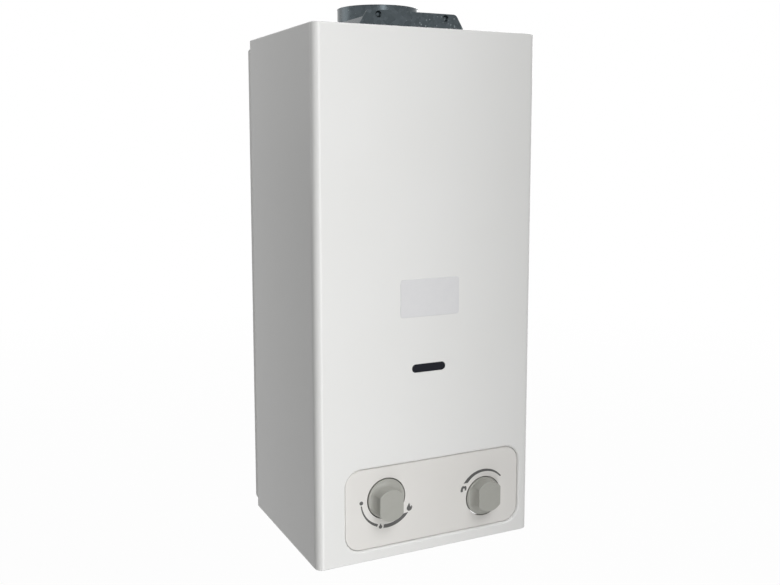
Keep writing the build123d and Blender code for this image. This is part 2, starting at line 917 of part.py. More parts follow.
def fin_block():
    """Copper fins in a thin frame, with three tubes through all of them."""
    low, z = fin_base(), tube_level()
    plan = RectangleRounded(2 * shell_half, shell_depth, shell_corner)
    stack = extrude(Pos(0, flue_y, low) * plan, fin_height)
    length = shell_depth - 2 * fin_rim
    count = int(2 * (shell_half - fin_rim) / fin_pitch)
    slots = []
    for n in range(count):
        x = (n - (count - 1) / 2) * fin_pitch
        past_corner = max(abs(x) + fin_gap / 2 - shell_half + shell_corner, 0)
        long = length if past_corner == 0 else length - 2 * shell_corner
        slots.append(Pos(x, flue_y, low + fin_height / 2) * Box(fin_gap, long, fin_height + overrun))
    stack -= slots
    ends = (-shell_half, shell_half)
    for y in (flue_y - bend_offset, flue_y, flue_y + bend_offset):
        stack += bar((ends[0], y, z), (ends[1], y, z), fin_tube)
    for y in (flue_y - bend_offset, flue_y, flue_y + bend_offset):
        stack -= bar((ends[0] - overrun, y, z), (ends[1] + overrun, y, z), bend_bore)
    return stack


def tube_level():
    """Height of the tubes' centre line through the fins."""
    return fin_base() + fin_height / 2


def return_bend(side, y):
    """A half-round bend at the fin block's side, joining two of its tubes."""
    radius = bend_offset / 2
    face = side * shell_half
    z = tube_level()
    points = [
        (face, y - radius, z),
        (face + side * (bend_stub + radius), y - radius, z),
        (face + side * (bend_stub + radius), y + radius, z),
        (face, y + radius, z),
    ]
    return run_of(points, bend_tube, bend_bore, radius - hair)


def return_bends():
    """One bend at each side of the fin block."""
    return group([return_bend(-1, flue_y + bend_offset / 2), return_bend(1, flue_y - bend_offset / 2)])


def elbow(side, y, far):
    """A brazed corner fitting at the fin block's side."""
    z = tube_level()
    half = elbow_size / 2
    x_span = sorted((side * shell_half, side * far))
    body = block(x_span, (y - half, y + half), (z - half, z + half))
    return chamfer(body.edges().filter_by(Axis.Y), elbow_edge)


def end_elbows():
    """The fin block's inlet at the right rear and outlet at the left front."""
    inlet = elbow(1, flue_y + bend_offset, coil_x + coil_radius + elbow_edge + fit_gap)
    outlet = elbow(-1, flue_y - bend_offset, -outlet_x + coil_radius + elbow_edge + fit_gap)
    return group([inlet, outlet])


def coil_start():
    """Height at which the coil leaves the water valve."""
    return up(arm_high_rise)


def coil_levels():
    """Heights of the coil's three turns, spread evenly up the shell."""
    low = up(shell_rise) + coil_foot_gap
    high = up(shell_rise) + shell_height - coil_head_gap
    return low, (low + high) / 2, high


def wrap_coil():
    """Tube from the water valve, wound round the shell and up to the fin block's inlet."""
    near, far = shell_front - coil_offset, shell_rear + coil_offset
    low, mid, high = coil_levels()
    points = [
        (coil_x, valve_y, coil_start()),
        (coil_x, valve_y, low),
        (coil_x, far, low),
        (-coil_x, far, low),
        (-coil_x, near, low),
        (coil_x, near, low),
        (coil_x, near, mid),
        (coil_x, far, mid),
        (-coil_x, far, mid),
        (-coil_x, near, mid),
        (-coil_x, near, high),
        (coil_x, near, high),
        (coil_x, flue_y + bend_offset, high),
        (coil_x, flue_y + bend_offset, tube_level() - elbow_size / 2),
    ]
    return run_of(points, coil_radius, coil_bore, coil_bend)


def hot_pipe():
    """Outlet pipe from the fin block down to the hot union."""
    y = flue_y - bend_offset
    points = [
        (outlet_x, y, tube_level() - elbow_size / 2),
        (outlet_x, y, up(outlet_high_rise)),
        (hot_union_x, valve_y, up(outlet_low_rise)),
        (hot_union_x, valve_y, up(hot_union_rise)),
    ]
    return run_of(points, coil_radius, coil_bore, outlet_bend)


def pipe_nut_at(x, low, tall, across, hole):
    """A hexagonal nut on one of the upright pipes."""
    nut = hexagon((x, valve_y, low), (x, valve_y, low + tall), across)
    return nut - bar((x, valve_y, low - overrun), (x, valve_y, low + tall + overrun), hole)


def pipe_nuts():
    """Nuts of the coil and the hot pipe, and the lock nuts that clamp the unions' bracket."""
    ends = [(coil_x, coil_start()), (hot_union_x, up(hot_union_rise))]
    pieces = [pipe_nut_at(x, z, pipe_nut_height, pipe_nut, coil_radius + fit_gap) for x, z in ends]
    low = up(bracket_rise) - lock_nut_height
    for x in union_places():
        pieces.append(pipe_nut_at(x, low, lock_nut_height, union_hex, shank_radius + fit_gap))
    return group(pieces)


def bar_places():
    """The x of each burner bar, as many as the tray takes."""
    count = int(2 * (tray_half - tray_sheet) / bar_pitch)
    return [(n - (count - 1) / 2) * bar_pitch for n in range(count)]


def injector_level():
    """Height of the injectors and the bars' gas mouths."""
    return up(tray_rise) + tray_sheet + venturi_rise


def burner_tray():
    """Steel frame of the burner: four walls, ledges under the bars, a flange for the shell."""
    low, high = up(tray_rise), up(shell_rise)
    tray = block((-tray_half, tray_half), (tray_front, tray_rear), (low, high))
    wide, deep = tray_half + tray_flange, (tray_rear - tray_front) / 2 + tray_flange
    tray += block((-wide, wide), (flue_y - deep, flue_y + deep), (high - tray_sheet, high))
    inner = tray_half - tray_sheet
    tray -= block(
        (-inner, inner), (tray_front + tray_sheet, tray_rear - tray_sheet), (low + tray_sheet, high + overrun)
    )
    tray -= block((-inner, inner), (tray_front + tray_ledge, tray_rear - tray_ledge), (low - overrun, high))
    for x in bar_places():
        at = (x, tray_front - overrun, injector_level())
        tray -= bar(at, (x, tray_front + overrun, at[2]), injector_hole)
    return tray


def bar_prism(inset):
    """A burner bar's round-topped form, moved in by an inset."""
    low, high = up(tray_rise) + tray_sheet + inset, up(tray_rise) + tray_sheet + bar_height - inset
    crown = bar_width / 2 - inset
    face = Pos(0, (low + high - crown) / 2) * Rectangle(2 * crown, high - crown - low)
    face += Pos(0, high - crown) * Circle(crown)
    half = bar_depth / 2 - inset
    return slab(face, flue_y - half, flue_y + half)


def burner_bar():
    """One hollow burner bar, its length along y, with its flame slots and its gas mouth."""
    body = bar_prism(0) - bar_prism(bar_sheet)
    count = int((bar_depth - 2 * port_margin) / port_pitch) + 1
    high = up(tray_rise) + tray_sheet + bar_height
    port = Box(port_length, port_width, 2 * port_depth)
    body -= [Pos(0, flue_y + (n - (count - 1) / 2) * port_pitch, high) * port for n in range(count)]
    near, z = flue_y - bar_depth / 2, injector_level()
    return body - bar((0, near - overrun, z), (0, near + overrun, z), venturi_radius)


def burner_bars():
    """The row of burner bars on the tray's ledges."""
    pattern = burner_bar()
    return group([Pos(x, 0, 0) * pattern for x in bar_places()])


def gas_manifold():
    """Square gas rail in front of the burner, with a lug at each end on the tray."""
    z, half = injector_level(), manifold_size / 2
    near, far = manifold_y - half, manifold_y + half
    rail = block((-manifold_half, manifold_half), (near, far), (z - half, z + half))
    thin = half - manifold_wall
    hollow = manifold_half - manifold_wall
    rail -= block((-hollow, hollow), (manifold_y - thin, manifold_y + thin), (z - thin, z + thin))
    for side in (-1, 1):
        span = sorted((side * manifold_half, side * (manifold_half - lug_width)))
        rail += block(span, (far, tray_front), (z - half, z + half))
    return rail


def injectors():
    """One brass injector for each burner bar, screwed to the rail."""
    z, seat = injector_level(), manifold_y + manifold_size / 2
    pieces = []
    for x in bar_places():
        body = hexagon((x, seat, z), (x, seat + injector_length, z), 2 * injector_radius)
        body += bar((x, seat, z), (x, seat + injector_length + nozzle_length, z), nozzle_radius)
        pieces.append(body)
    return group(pieces)


def gas_riser():
    """Pipe from the gas valve's top to the underside of the rail."""
    points = [
        (gas_knob_x, valve_y, up(gas_high_rise)),
        (gas_knob_x, valve_y, up(gas_high_rise) + riser_turn),
        (gas_knob_x, manifold_y, injector_level() - manifold_size / 2 - riser_turn),
        (gas_knob_x, manifold_y, injector_level() - manifold_size / 2),
    ]
    return run_of(points, riser_radius, riser_bore, riser_bend)


def gas_valve_body():
    """Cast gas valve: block, spindle boss, and the bore in which the valve disc works."""
    near, far = valve_y - gas_depth_half, valve_y + gas_depth_half
    body = block((gas_left, gas_right), (near, far), (up(gas_low_rise), up(gas_high_rise)))
    body = fillet(body.edges().filter_by(Axis.Y), gas_edge)
    z = up(gas_knob_rise)
    body += bar((gas_knob_x, near - gas_boss, z), (gas_knob_x, near, z), gas_boss_radius)
    hold = near - gas_boss + spindle_hold
    body -= bar((gas_knob_x, near - gas_boss, z), (gas_knob_x, hold, z), spindle_radius + spindle_gap)
    seat, axis_z = gas_right - seat_inset, up(rod_rise)
    body -= bar((gas_left - overrun, valve_y, axis_z), (seat, valve_y, axis_z), gas_cavity)
    body -= bar((seat - hair, valve_y, axis_z), (seat + seat_length, valve_y, axis_z), seat_radius)
    return body - bar((seat, valve_y, axis_z), (gas_right + overrun, valve_y, axis_z), rod_radius + rod_gap)


def gas_valve_cap():
    """Plug that closes the gas valve's bore and backs its spring."""
    z = up(rod_rise)
    cap = bar((gas_left - cap_height, valve_y, z), (gas_left, valve_y, z), cap_radius)
    return cap + bar((gas_left, valve_y, z), (gas_left + cap_plug, valve_y, z), gas_cavity - cap_gap)


def valve_seat():
    """The x of the seat that the gas valve's disc closes on."""
    return gas_right - seat_inset


def gas_stem():
    """Push rod with the gas valve's disc, one turned piece."""
    z = up(rod_rise)
    disc_left = valve_seat() - poppet_thickness
    stem = bar((disc_left, valve_y, z), (valve_seat(), valve_y, z), poppet_radius)
    return stem + bar((disc_left, valve_y, z), (water_right_x - plate_thick, valve_y, z), rod_radius)


def return_spring():
    """Coil spring between the cap and the valve's disc."""
    start, end = gas_left + cap_plug + spring_wire, valve_seat() - poppet_thickness - spring_wire
    length = end - start
    path = Helix(length / spring_turns, length, spring_radius)
    wire = sweep(Plane(path @ 0, z_dir=path % 0) * Circle(spring_wire), path, is_frenet=True)
    return Plane((start, valve_y, up(rod_rise)), z_dir=(1, 0, 0)) * wire


def gas_solenoid():
    """Safety valve's coil on the gas valve's rear, with its nut."""
    rear, z = valve_y + gas_depth_half, up(gas_knob_rise)
    end = rear + solenoid_length
    can = bar((gas_knob_x, rear, z), (gas_knob_x, end, z), solenoid_radius)
    return can + hexagon((gas_knob_x, end, z), (gas_knob_x, end + solenoid_nut_height, z), 2 * solenoid_nut)


def flange_places():
    """The water valve's flange screws, in y and z."""
    return [(valve_y + y, up(rod_rise) + z) for y, z in around(flange_screw_count, flange_screw_circle)]


def flange_holes(solid, low, high):
    """The same solid with the flange screws' holes between two x."""
    for y, z in flange_places():
        solid -= bar((low, y, z), (high, y, z), flange_screw_hole)
    return solid


def water_valve_cover():
    """Rod side of the water valve: disc, chamber and the rod's guide."""
    z = up(rod_rise)
    cover = bar((water_left_x, valve_y, z), (water_right_x, valve_y, z), disc_radius)
    cover += bar((water_left_x - neck_length, valve_y, z), (water_left_x, valve_y, z), neck_radius)
    cover -= bar((water_right_x - chamber_depth, valve_y, z), (water_right_x, valve_y, z), chamber_radius)
    guide = (water_left_x - neck_length, water_right_x)
    cover -= bar((guide[0], valve_y, z), (guide[1], valve_y, z), rod_radius + rod_gap)
    return flange_holes(cover, water_left_x, water_right_x)


def diaphragm():
    """Rubber diaphragm clamped between the water valve's halves."""
    z = up(rod_rise)
    sheet = bar((water_right_x, valve_y, z), (body_left_x, valve_y, z), diaphragm_radius)
    return flange_holes(sheet, water_right_x, body_left_x)


def diaphragm_plate():
    """Plate on the diaphragm's dry side, which pushes the rod."""
    z = up(rod_rise)
    return bar((water_right_x - plate_thick, valve_y, z), (water_right_x, valve_y, z), plate_radius)


def water_valve_body():
    """Wet side of the water valve: disc, arm, regulator boss and the coil's port."""
    z = up(rod_rise)
    right = body_left_x + cover_thick
    disc = bar((body_left_x, valve_y, z), (right, valve_y, z), disc_radius)
    near, far = valve_y - arm_depth_half, valve_y + arm_depth_half
    arm = block((right - hair, arm_right_x), (near, far), (up(arm_low_rise), up(arm_high_rise)))
    arm = fillet(arm.edges().filter_by(Axis.X) + arm.edges().filter_by(Axis.Z).group_by(Axis.X)[-1], arm_edge)
    body = disc + arm
    tap_z = up(water_knob_rise)
    body += bar((water_knob_x, near - water_boss, tap_z), (water_knob_x, near, tap_z), water_boss_radius)
    body -= bar((body_left_x, valve_y, z), (body_left_x + chamber_depth, valve_y, z), chamber_radius)
    hold = near - water_boss + spindle_hold
    tap = (water_knob_x, near - water_boss, tap_z)
    body -= bar(tap, (water_knob_x, hold, tap_z), spindle_radius + spindle_gap)
    return flange_holes(body, body_left_x, right)


def valve_screws():
    """Six screws through the water valve's flange."""
    pieces = []
    for y, z in flange_places():
        head = (water_left_x - flange_screw_head_height, water_left_x)
        screw = bar((head[0], y, z), (head[1], y, z), flange_screw_head)
        screw -= hexagon((head[0], y, z), (water_left_x - lever_thickness, y, z), flange_screw_head)
        end = (body_left_x + cover_thick, y, z)
        pieces.append(screw + bar((water_left_x, y, z), end, flange_screw_radius))
    return group(pieces)


def valve_standoffs():
    """Two pillars that hold the water valve to the gas valve."""
    z = up(rod_rise)
    return group(
        [
            bar((gas_right, valve_y + side * standoff_offset, z),
                (water_left_x, valve_y + side * standoff_offset, z), standoff_radius)
            for side in (-1, 1)
        ]
    )


def drain_plug():
    """Finger plug under the water valve, for draining."""
    high = up(arm_low_rise)
    seat = high - drain_neck_length
    plug = bar((drain_x, valve_y, high), (drain_x, valve_y, seat), drain_neck)
    return plug + bar((drain_x, valve_y, seat), (drain_x, valve_y, seat - drain_length), drain_radius)


def switch_collar():
    """Collar on the push rod, which works the microswitch."""
    z = up(rod_rise)
    left, right = switch_collar_x, switch_collar_x + switch_collar_width
    ring = bar((left, valve_y, z), (right, valve_y, z), switch_collar_radius)
    return ring - bar((left - overrun, valve_y, z), (right + overrun, valve_y, z), rod_radius)


def lever_pivot():
    """Place of the lever's pin: its x and z."""
    return switch_collar_x - fit_gap - lever_thickness / 2, up(rod_rise) + switch_lift - lever_boss - fit_gap


def microswitch():
    """Switch body on the water valve's cover, with an ear each side of the lever's pin."""
    low = up(rod_rise) + switch_lift
    y = valve_y + lever_offset
    half = switch_width / 2
    left = water_left_x - switch_length
    body = block((left, water_left_x), (y - half, y + half), (low, low + switch_height))
    x, z = lever_pivot()
    for side in (-1, 1):
        inner = y + side * (lever_width / 2 + fit_gap)
        span = sorted((inner, inner + side * switch_ear))
        ear = block((x - lever_boss, x + lever_boss), span, (z, low))
        body += ear + bar((x, span[0], z), (x, span[1], z), lever_boss)
    return body + bar((x, y - half / 2, z), (x, y + half / 2, z), lever_pin)


def switch_lever():
    """Lever that hangs from the switch onto the rod's collar."""
    x, z = lever_pivot()
    y_span = (valve_y + lever_offset - lever_width / 2, valve_y + lever_offset + lever_width / 2)
    lever = block((x - lever_thickness / 2, x + lever_thickness / 2), y_span, (z - lever_drop, z))
    lever += bar((x, y_span[0], z), (x, y_span[1], z), lever_boss - fit_gap)
    return lever - bar((x, y_span[0], z), (x, y_span[1], z), lever_pin + lever_gap)


def union_fitting(x, reach):
    """A threaded spigot through the bracket, with its hexagon and a neck up to its valve."""
    plate_top = up(bracket_rise) + bracket_sheet
    low = bottom - thread_drop
    fitting = bar((x, valve_y, low), (x, valve_y, up(thread_rise)), thread_radius)
    fitting += bar((x, valve_y, up(thread_rise)), (x, valve_y, plate_top), shank_radius)
    hex_top = plate_top + union_hex_height
    fitting += hexagon((x, valve_y, plate_top), (x, valve_y, hex_top), union_hex)
    fitting += bar((x, valve_y, hex_top), (x, valve_y, reach), union_neck)
    fitting -= bar((x, valve_y, low), (x, valve_y, hex_top), union_bore)
    return fitting - bar((x, valve_y, low), (x, valve_y, reach), union_neck_bore)


def gas_union():
    """Gas inlet."""
    return union_fitting(gas_knob_x, up(gas_low_rise))


def cold_union():
    """Cold water inlet."""
    return union_fitting(cold_union_x, up(arm_low_rise))


def hot_union():
    """Hot water outlet."""
    return union_fitting(hot_union_x, up(hot_union_rise))


def union_places():
    """The x of each union."""
    return [hot_union_x, gas_knob_x, cold_union_x]


def connection_bracket():
    """Cross-bar that carries the unions, with arms to the pan and ears for the cover."""
    low, high = up(bracket_rise), up(bracket_rise) + bracket_sheet
    wall = -pan_sheet
    near, far = valve_y - bracket_bar_half, valve_y + bracket_bar_half
    frame = block((-bracket_half, bracket_half), (near, far), (low, high))
    inner = bracket_half - bracket_arm
    foot = bottom + cover_sheet
    for side in (-1, 1):
        span = sorted((side * inner, side * bracket_half))
        frame += block(span, (far, wall), (low, high))
        frame += block(span, (wall - bracket_sheet, wall), (low, high + bracket_upturn))
        y = back(ear_depth_back)
        ear = (y - ear_width / 2, y + ear_width / 2)
        leg = sorted((side * bracket_half, side * (bracket_half - bracket_sheet)))
        frame += block(leg, ear, (foot, high))
        toe = sorted((side * bracket_half, side * (bracket_half + ear_reach)))
        frame += block(toe, ear, (foot, foot + bracket_sheet))
    rest = box_rear()
    span = (box_x - tongue_half, box_x + tongue_half)
    frame += block(span, (rest, near), (low, high))
    frame += block(span, (rest, rest + bracket_sheet), (low, high + tongue_upturn))
    for x in union_places():
        frame -= bar((x, valve_y, low - overrun), (x, valve_y, high + overrun), shank_radius + fit_gap)
    for x, y in cover_screw_places():
        frame -= bar((x, y, foot - overrun), (x, y, foot + overrun), cover_screw_hole)
    return frame


def cover_screws():
    """Two screws up through the cover's lower lip into the bracket's ears."""
    pieces = []
    for x, y in cover_screw_places():
        head = bar((x, y, bottom - cover_screw_head_height), (x, y, bottom), cover_screw_head)
        head = fillet(head.edges().group_by(Axis.Z)[0], cover_screw_head_height / 2)
        for wide, deep in ((cover_screw_head, bracket_sheet), (bracket_sheet, cover_screw_head)):
            head -= Pos(x, y, bottom - cover_screw_head_height) * Box(wide, deep, cover_screw_head_height)
        pieces.append(head + bar((x, y, bottom), (x, y, bottom + cover_screw_length), cover_screw_radius))
    return group(pieces)


def chassis_brackets():
    """Four flanged straps from the pan to the exchanger and the burner."""
    pieces = []
    for side in (-1, 1):
        for rear, rise in ((shell_rear, chassis_shell_rise), (tray_rear, chassis_tray_rise)):
            x, z = side * chassis_x, up(rise)
            x_span = (x - chassis_width / 2, x + chassis_width / 2)
            strap = block(x_span, (rear, -pan_sheet), (z, z + chassis_sheet))
            for y in ((rear, rear + chassis_sheet), (-pan_sheet - chassis_sheet, -pan_sheet)):
                strap += block(x_span, y, (z, z + chassis_tab))
            pieces.append(strap)
    return group(pieces)


def box_rear():
    """The battery box's rear face, which rests on the bracket's tongue."""
    return back(box_back) + box_depth


def cell_foot():
    """Height at which the cells start, above the lid's hinge."""
    return up(box_rise) + lid_thickness + lid_gap + cell_lift


def box_top():
    """Height of the battery box's top."""
    return cell_foot() + cell_height + cell_nub_height + contact_sheet + box_wall


def cell_places():
    """The x of each cell."""
    offset_x = cell_radius + cell_gap / 2
    return [box_x - offset_x, box_x + offset_x]


def lid_hinge():
    """Place of the lid's pin: its y and z."""
    return box_rear() - box_wall - lid_knuckle, up(box_rise) + lid_knuckle + lid_drop


def battery_box():
    """Box for two cells, open below, with a bearing each side of the lid's hinge."""
    low, high = up(box_rise) + lid_thickness + lid_gap, box_top()
    half = box_width / 2
    near, far = back(box_back), box_rear()
    body = block((box_x - half, box_x + half), (near, far), (low, high))
    body = fillet(body.edges().filter_by(Axis.Z), box_wall)
    inner = half - box_wall
    body -= block(
        (box_x - inner, box_x + inner), (near + box_wall, far - box_wall), (low - overrun, high - box_wall)
    )
    y, z = lid_hinge()
    reach = lid_pin_length / 2 + lid_knuckle
    gap_half = lid_pin_length / 2 - lid_knuckle
    sill = (y - lid_knuckle, far - box_wall)
    for side in (-1, 1):
        ledge = sorted((box_x + side * reach, box_x + side * inner))
        body += block(ledge, sill, (low, low + box_wall))
        span = sorted((box_x + side * gap_half, box_x + side * reach))
        ear = block(span, (y, far - box_wall), (z, low + lid_knuckle))
        ear += bar((span[0], y, z), (span[1], y, z), lid_knuckle)
        end = box_x + side * lid_pin_length / 2
        ear -= bar((box_x, y, z), (end, y, z), lid_pin + lid_pin_gap)
        body += ear
    return body


def battery_lid():
    """Hinged lid under the cells, with its own pin, a pad for each cell and a finger hollow."""
    low, high = up(box_rise), up(box_rise) + lid_thickness
    half = box_width / 2
    near, far = back(box_back), box_rear()
    lid = block((box_x - half, box_x + half), (near, far), (low, high))
    lid = fillet(lid.edges().filter_by(Axis.Z), box_wall)
    y, z = lid_hinge()
    edge = y - lid_knuckle - fit_gap
    beyond = half + overrun
    lid -= block((box_x - beyond, box_x + beyond), (edge, far + overrun), (low - overrun, high + overrun))
    arm = lid_pin_length / 2 - lid_knuckle - fit_gap
    barrel = lid_knuckle - lid_drop
    lid += block((box_x - arm, box_x + arm), (edge, y), (z - barrel, high))
    lid += bar((box_x - arm, y, z), (box_x + arm, y, z), barrel)
    pin = lid_pin_length / 2 - fit_gap
    lid += bar((box_x - pin, y, z), (box_x + pin, y, z), lid_pin)
    touch = (box_x, near + lid_finger)
    hollow = bar((*touch, low - overrun), (*touch, low + lid_finger_depth), lid_finger)
    middle = (near + far) / 2
    for x in cell_places():
        lid += bar((x, middle, high), (x, middle, cell_foot() - fit_gap), pad_radius)
    return lid - hollow


def cells():
    """Two round cells, one each way up."""
    low = cell_foot()
    y = (back(box_back) + box_rear()) / 2
    pieces = []
    for x, flip in zip(cell_places(), (False, True)):
        start = low + (cell_nub_height if flip else 0)
        cell = bar((x, y, start), (x, y, start + cell_height), cell_radius)
        cell = fillet(cell.edges().group_by(Axis.Z)[0] + cell.edges().group_by(Axis.Z)[-1], cell_gap)
        nub = (low, start) if flip else (start + cell_height, start + cell_height + cell_nub_height)
        pieces.append(cell + bar((x, y, nub[0]), (x, y, nub[1]), cell_nub))
    return group(pieces)


def cell_contacts():
    """Sprung metal strips over the cells, under the box's top."""
    high = box_top() - box_wall
    y = (back(box_back) + box_rear()) / 2
    half = contact_width / 2
    return group(
        [
            block((x - half, x + half), (y - half, y + half), (high - contact_sheet, high))
            for x in cell_places()
        ]
    )


def controller_sockets():
    """Places of the controller's lead sockets: x and the top of each."""
    high = up(controller_rise) + controller_height + socket_height
    return [(controller_x + n * socket_pitch, high) for n in (-1, 0, 1)]


def ignition_controller():
    """Spark and control box on the pan, with screw feet and three lead sockets."""
    low, high = up(controller_rise), up(controller_rise) + controller_height
    half = controller_width / 2
    wall = -pan_sheet
    body = block((controller_x - half, controller_x + half), (wall - controller_depth, wall), (low, high))
    body = fillet(body.edges().filter_by(Axis.Z).group_by(Axis.Y)[0], controller_edge)
    for side in (-1, 1):
        span = sorted((controller_x + side * half, controller_x + side * (half + controller_foot)))
        mid = (low + high) / 2
        z_span = (mid - controller_foot, mid + controller_foot)
        body += block(span, (wall - controller_foot_height, wall), z_span)
    y = wall - controller_depth / 2
    for x, tall in controller_sockets():
        wide, deep = socket_width / 2, socket_depth / 2
        body += block((x - wide, x + wide), (y - deep, y + deep), (high, tall))
    return body


def electrode_rods():
    """Ceramic rods through the shell's front wall: the spark one left, the flame sensor right."""
    pieces = []
    for side in (-1, 1):
        x, z = side * electrode_x, up(electrode_rise)
        end = (x, shell_front + electrode_inside, z)
        rod = bar((x, shell_front - electrode_front, z), end, electrode_radius)
        pieces.append(chamfer(rod.edges().group_by(Axis.Y)[-1], tip_radius))
    return group(pieces)


def electrode_tips():
    """Metal tips out of the ceramic, bent down over the burner."""
    start = shell_front + electrode_inside
    pieces = []
    for side in (-1, 1):
        x, z = side * electrode_x, up(electrode_rise)
        points = [(x, start, z), (x, start + tip_length, z), (x, start + tip_length, z - tip_drop)]
        pieces.append(run_of(points, tip_radius, 0, tip_bend))
    return group(pieces)


def electrode_holder():
    """Strap on the shell's front that holds both electrodes clear of the sight line."""
    z = up(electrode_rise)
    near = shell_front - holder_sheet
    pieces = []
    for side in (-1, 1):
        face = Pos(side * electrode_x, z) * RectangleRounded(2 * holder_margin, holder_height, holder_sheet)
        face -= Pos(side * electrode_x, z) * Circle(electrode_radius + spindle_gap)
        pieces.append(slab(face, near, shell_front))
    return group(pieces)


def disc_thermostat(x, z, seat):
    """A round thermostat on an upright face that looks forward."""
    ears = Pos(x, z) * RectangleRounded(2 * thermo_flange, thermo_radius, thermo_radius / 2 - hair)
    flange = slab(ears, seat - thermo_flange_sheet, seat)
    return flange + bar((x, seat, z), (x, seat - thermo_height, z), thermo_radius)


def overheat_level():
    """Height of the overheat cut-out, midway between the coil's upper turns."""
    low, mid, high = coil_levels()
    return (mid + high) / 2


def thermostats():
    """Overheat cut-out on the shell, and a cut-out for a blocked flue on the hood."""
    return group(
        [
            disc_thermostat(overheat_x, overheat_level(), shell_front),
            disc_thermostat(spill_x, up(spill_rise), back(hood_front)),
        ]
    )


def fixing(x, z, seat, toward):
    """A small pan-head screw along y whose head rests on a face."""
    head = bar((x, seat, z), (x, seat - toward * fix_head_height, z), fix_head)
    slot = sorted((seat - toward * fix_head_height / 2, seat - toward * overrun))
    head -= block((x - fix_head, x + fix_head), slot, (z - fix_hole / 4, z + fix_hole / 4))
    return head + bar((x, seat, z), (x, seat + toward * fix_length, z), fix_radius)


def hood_screws():
    """Screws of the hood's front plate."""
    return group([fixing(x, z, back(hood_front), 1) for x, z in hood_fix_places()])


def socket_y():
    """Depth of the controller's sockets."""
    return -pan_sheet - controller_depth / 2


def electrode_route(side, socket, lane):
    """From a controller socket, under the burner and up the front to an electrode."""
    x, z = side * electrode_x, up(electrode_rise)
    socket_x, high = controller_sockets()[socket]
    near = back(lead_lane_back)
    return [
        (socket_x, socket_y(), high),
        (socket_x, socket_y(), lane),
        (x, near, lane),
        (x, near, z),
        (x, shell_front - electrode_front, z),
    ]


def spark_lead():
    """High-voltage lead from the controller to the spark electrode."""
    return run_of(electrode_route(-1, 0, up(lead_spark_rise)), spark_lead_radius, 0, lead_bend)


def side_route(x, face, z, step, end_z):
    """From a thermostat, round to the right side, down, and back to the controller's side."""
    lane_y = face - thermo_height - lead_side_step
    right = lead_lane_x
    return [
        (x, face - thermo_height, z),
        (x, lane_y, z),
        (right, lane_y, z - step),
        (right, lane_y, end_z),
        (right, socket_y(), end_z),
        (controller_x + controller_width / 2, socket_y(), end_z),
    ]


def control_leads():
    """Low-voltage leads: flame sensor, cells, solenoid, microswitch and both thermostats."""
    left = controller_x - controller_width / 2
    socket_x, high = controller_sockets()[1]
    cell_y = (back(box_back) + box_rear()) / 2
    lane = up(lead_loom_rise)
    coil_end = valve_y + gas_depth_half + solenoid_length + solenoid_nut_height
    coil_z = up(gas_knob_rise)
    switch = (water_left_x - switch_length / 2, valve_y + lever_offset)
    switch_top = up(rod_rise) + switch_lift + switch_height
    side_z = up(controller_rise) + controller_height - lead_side_drop
    y = socket_y()
    routes = [
        electrode_route(1, 2, up(lead_sensor_rise)),
        [(box_x, cell_y, box_top()), (box_x, cell_y, lane), (socket_x, y, lane), (socket_x, y, high)],
        [(gas_knob_x, coil_end, coil_z), (gas_knob_x, y, coil_z), (left, y, coil_z)],
        [(*switch, switch_top), (*switch, side_z), (switch[0], y, side_z), (left, y, side_z)],
        side_route(overheat_x, shell_front, overheat_level(), 0, side_z),
        side_route(spill_x, back(hood_front), up(spill_rise), 0, side_z - lead_side_drop),
    ]
    return group([run_of(points, lead_radius, 0, lead_bend) for points in routes])


NODES = [
    front_cover, control_fascia, gas_knob, water_knob, gas_spindle, water_spindle, sight_glass, sight_clip,
    back_pan, draught_hood, hood_front_plate, draught_baffle, flue_collar, collar_rivets,
    combustion_shell, fin_block, return_bends, end_elbows, wrap_coil, hot_pipe, pipe_nuts,
    burner_tray, burner_bars, gas_manifold, injectors, gas_riser,
    gas_valve_body, gas_valve_cap, gas_stem, return_spring, gas_solenoid,
    water_valve_cover, diaphragm, diaphragm_plate, water_valve_body, valve_screws, valve_standoffs,
    drain_plug, switch_collar, microswitch, switch_lever,
    gas_union, cold_union, hot_union, connection_bracket, cover_screws, chassis_brackets,
    battery_box, battery_lid, cells, cell_contacts, ignition_controller,
    electrode_rods, electrode_tips, electrode_holder, thermostats, hood_screws, spark_lead, control_leads,
]

if __name__ == "__main__":
    for node in NODES:
        export_step(node(), f"parts/{node.__name__}.step")
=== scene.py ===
from math import cos, pi, radians, sin

import bmesh
import bpy
from mathutils import Matrix, Quaternion, Vector


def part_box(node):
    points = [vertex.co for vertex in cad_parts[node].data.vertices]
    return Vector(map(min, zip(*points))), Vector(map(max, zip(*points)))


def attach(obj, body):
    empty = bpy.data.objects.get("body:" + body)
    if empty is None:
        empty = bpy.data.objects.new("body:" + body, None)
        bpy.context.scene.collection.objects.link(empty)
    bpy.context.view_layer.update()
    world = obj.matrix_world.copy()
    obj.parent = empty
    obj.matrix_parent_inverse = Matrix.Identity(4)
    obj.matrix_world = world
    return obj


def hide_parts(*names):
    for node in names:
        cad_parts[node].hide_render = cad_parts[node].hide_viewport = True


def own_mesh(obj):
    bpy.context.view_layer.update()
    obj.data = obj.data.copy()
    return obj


# Tankless gas water heater: finishes, dial marks, blank badge, pipe threads, spring, studio and camera.
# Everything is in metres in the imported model's frame; a length in millimetres is times MM.

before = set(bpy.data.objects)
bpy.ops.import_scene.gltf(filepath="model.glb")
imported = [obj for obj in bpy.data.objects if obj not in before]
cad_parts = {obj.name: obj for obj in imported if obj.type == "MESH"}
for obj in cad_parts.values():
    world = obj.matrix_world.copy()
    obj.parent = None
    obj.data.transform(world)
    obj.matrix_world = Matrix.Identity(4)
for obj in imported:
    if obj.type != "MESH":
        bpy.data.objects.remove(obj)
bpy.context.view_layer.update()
MM = 0.001

# Sockets of a mix node for colours: the share of B, then the colours A and B
SHARE, A, B = 0, 6, 7

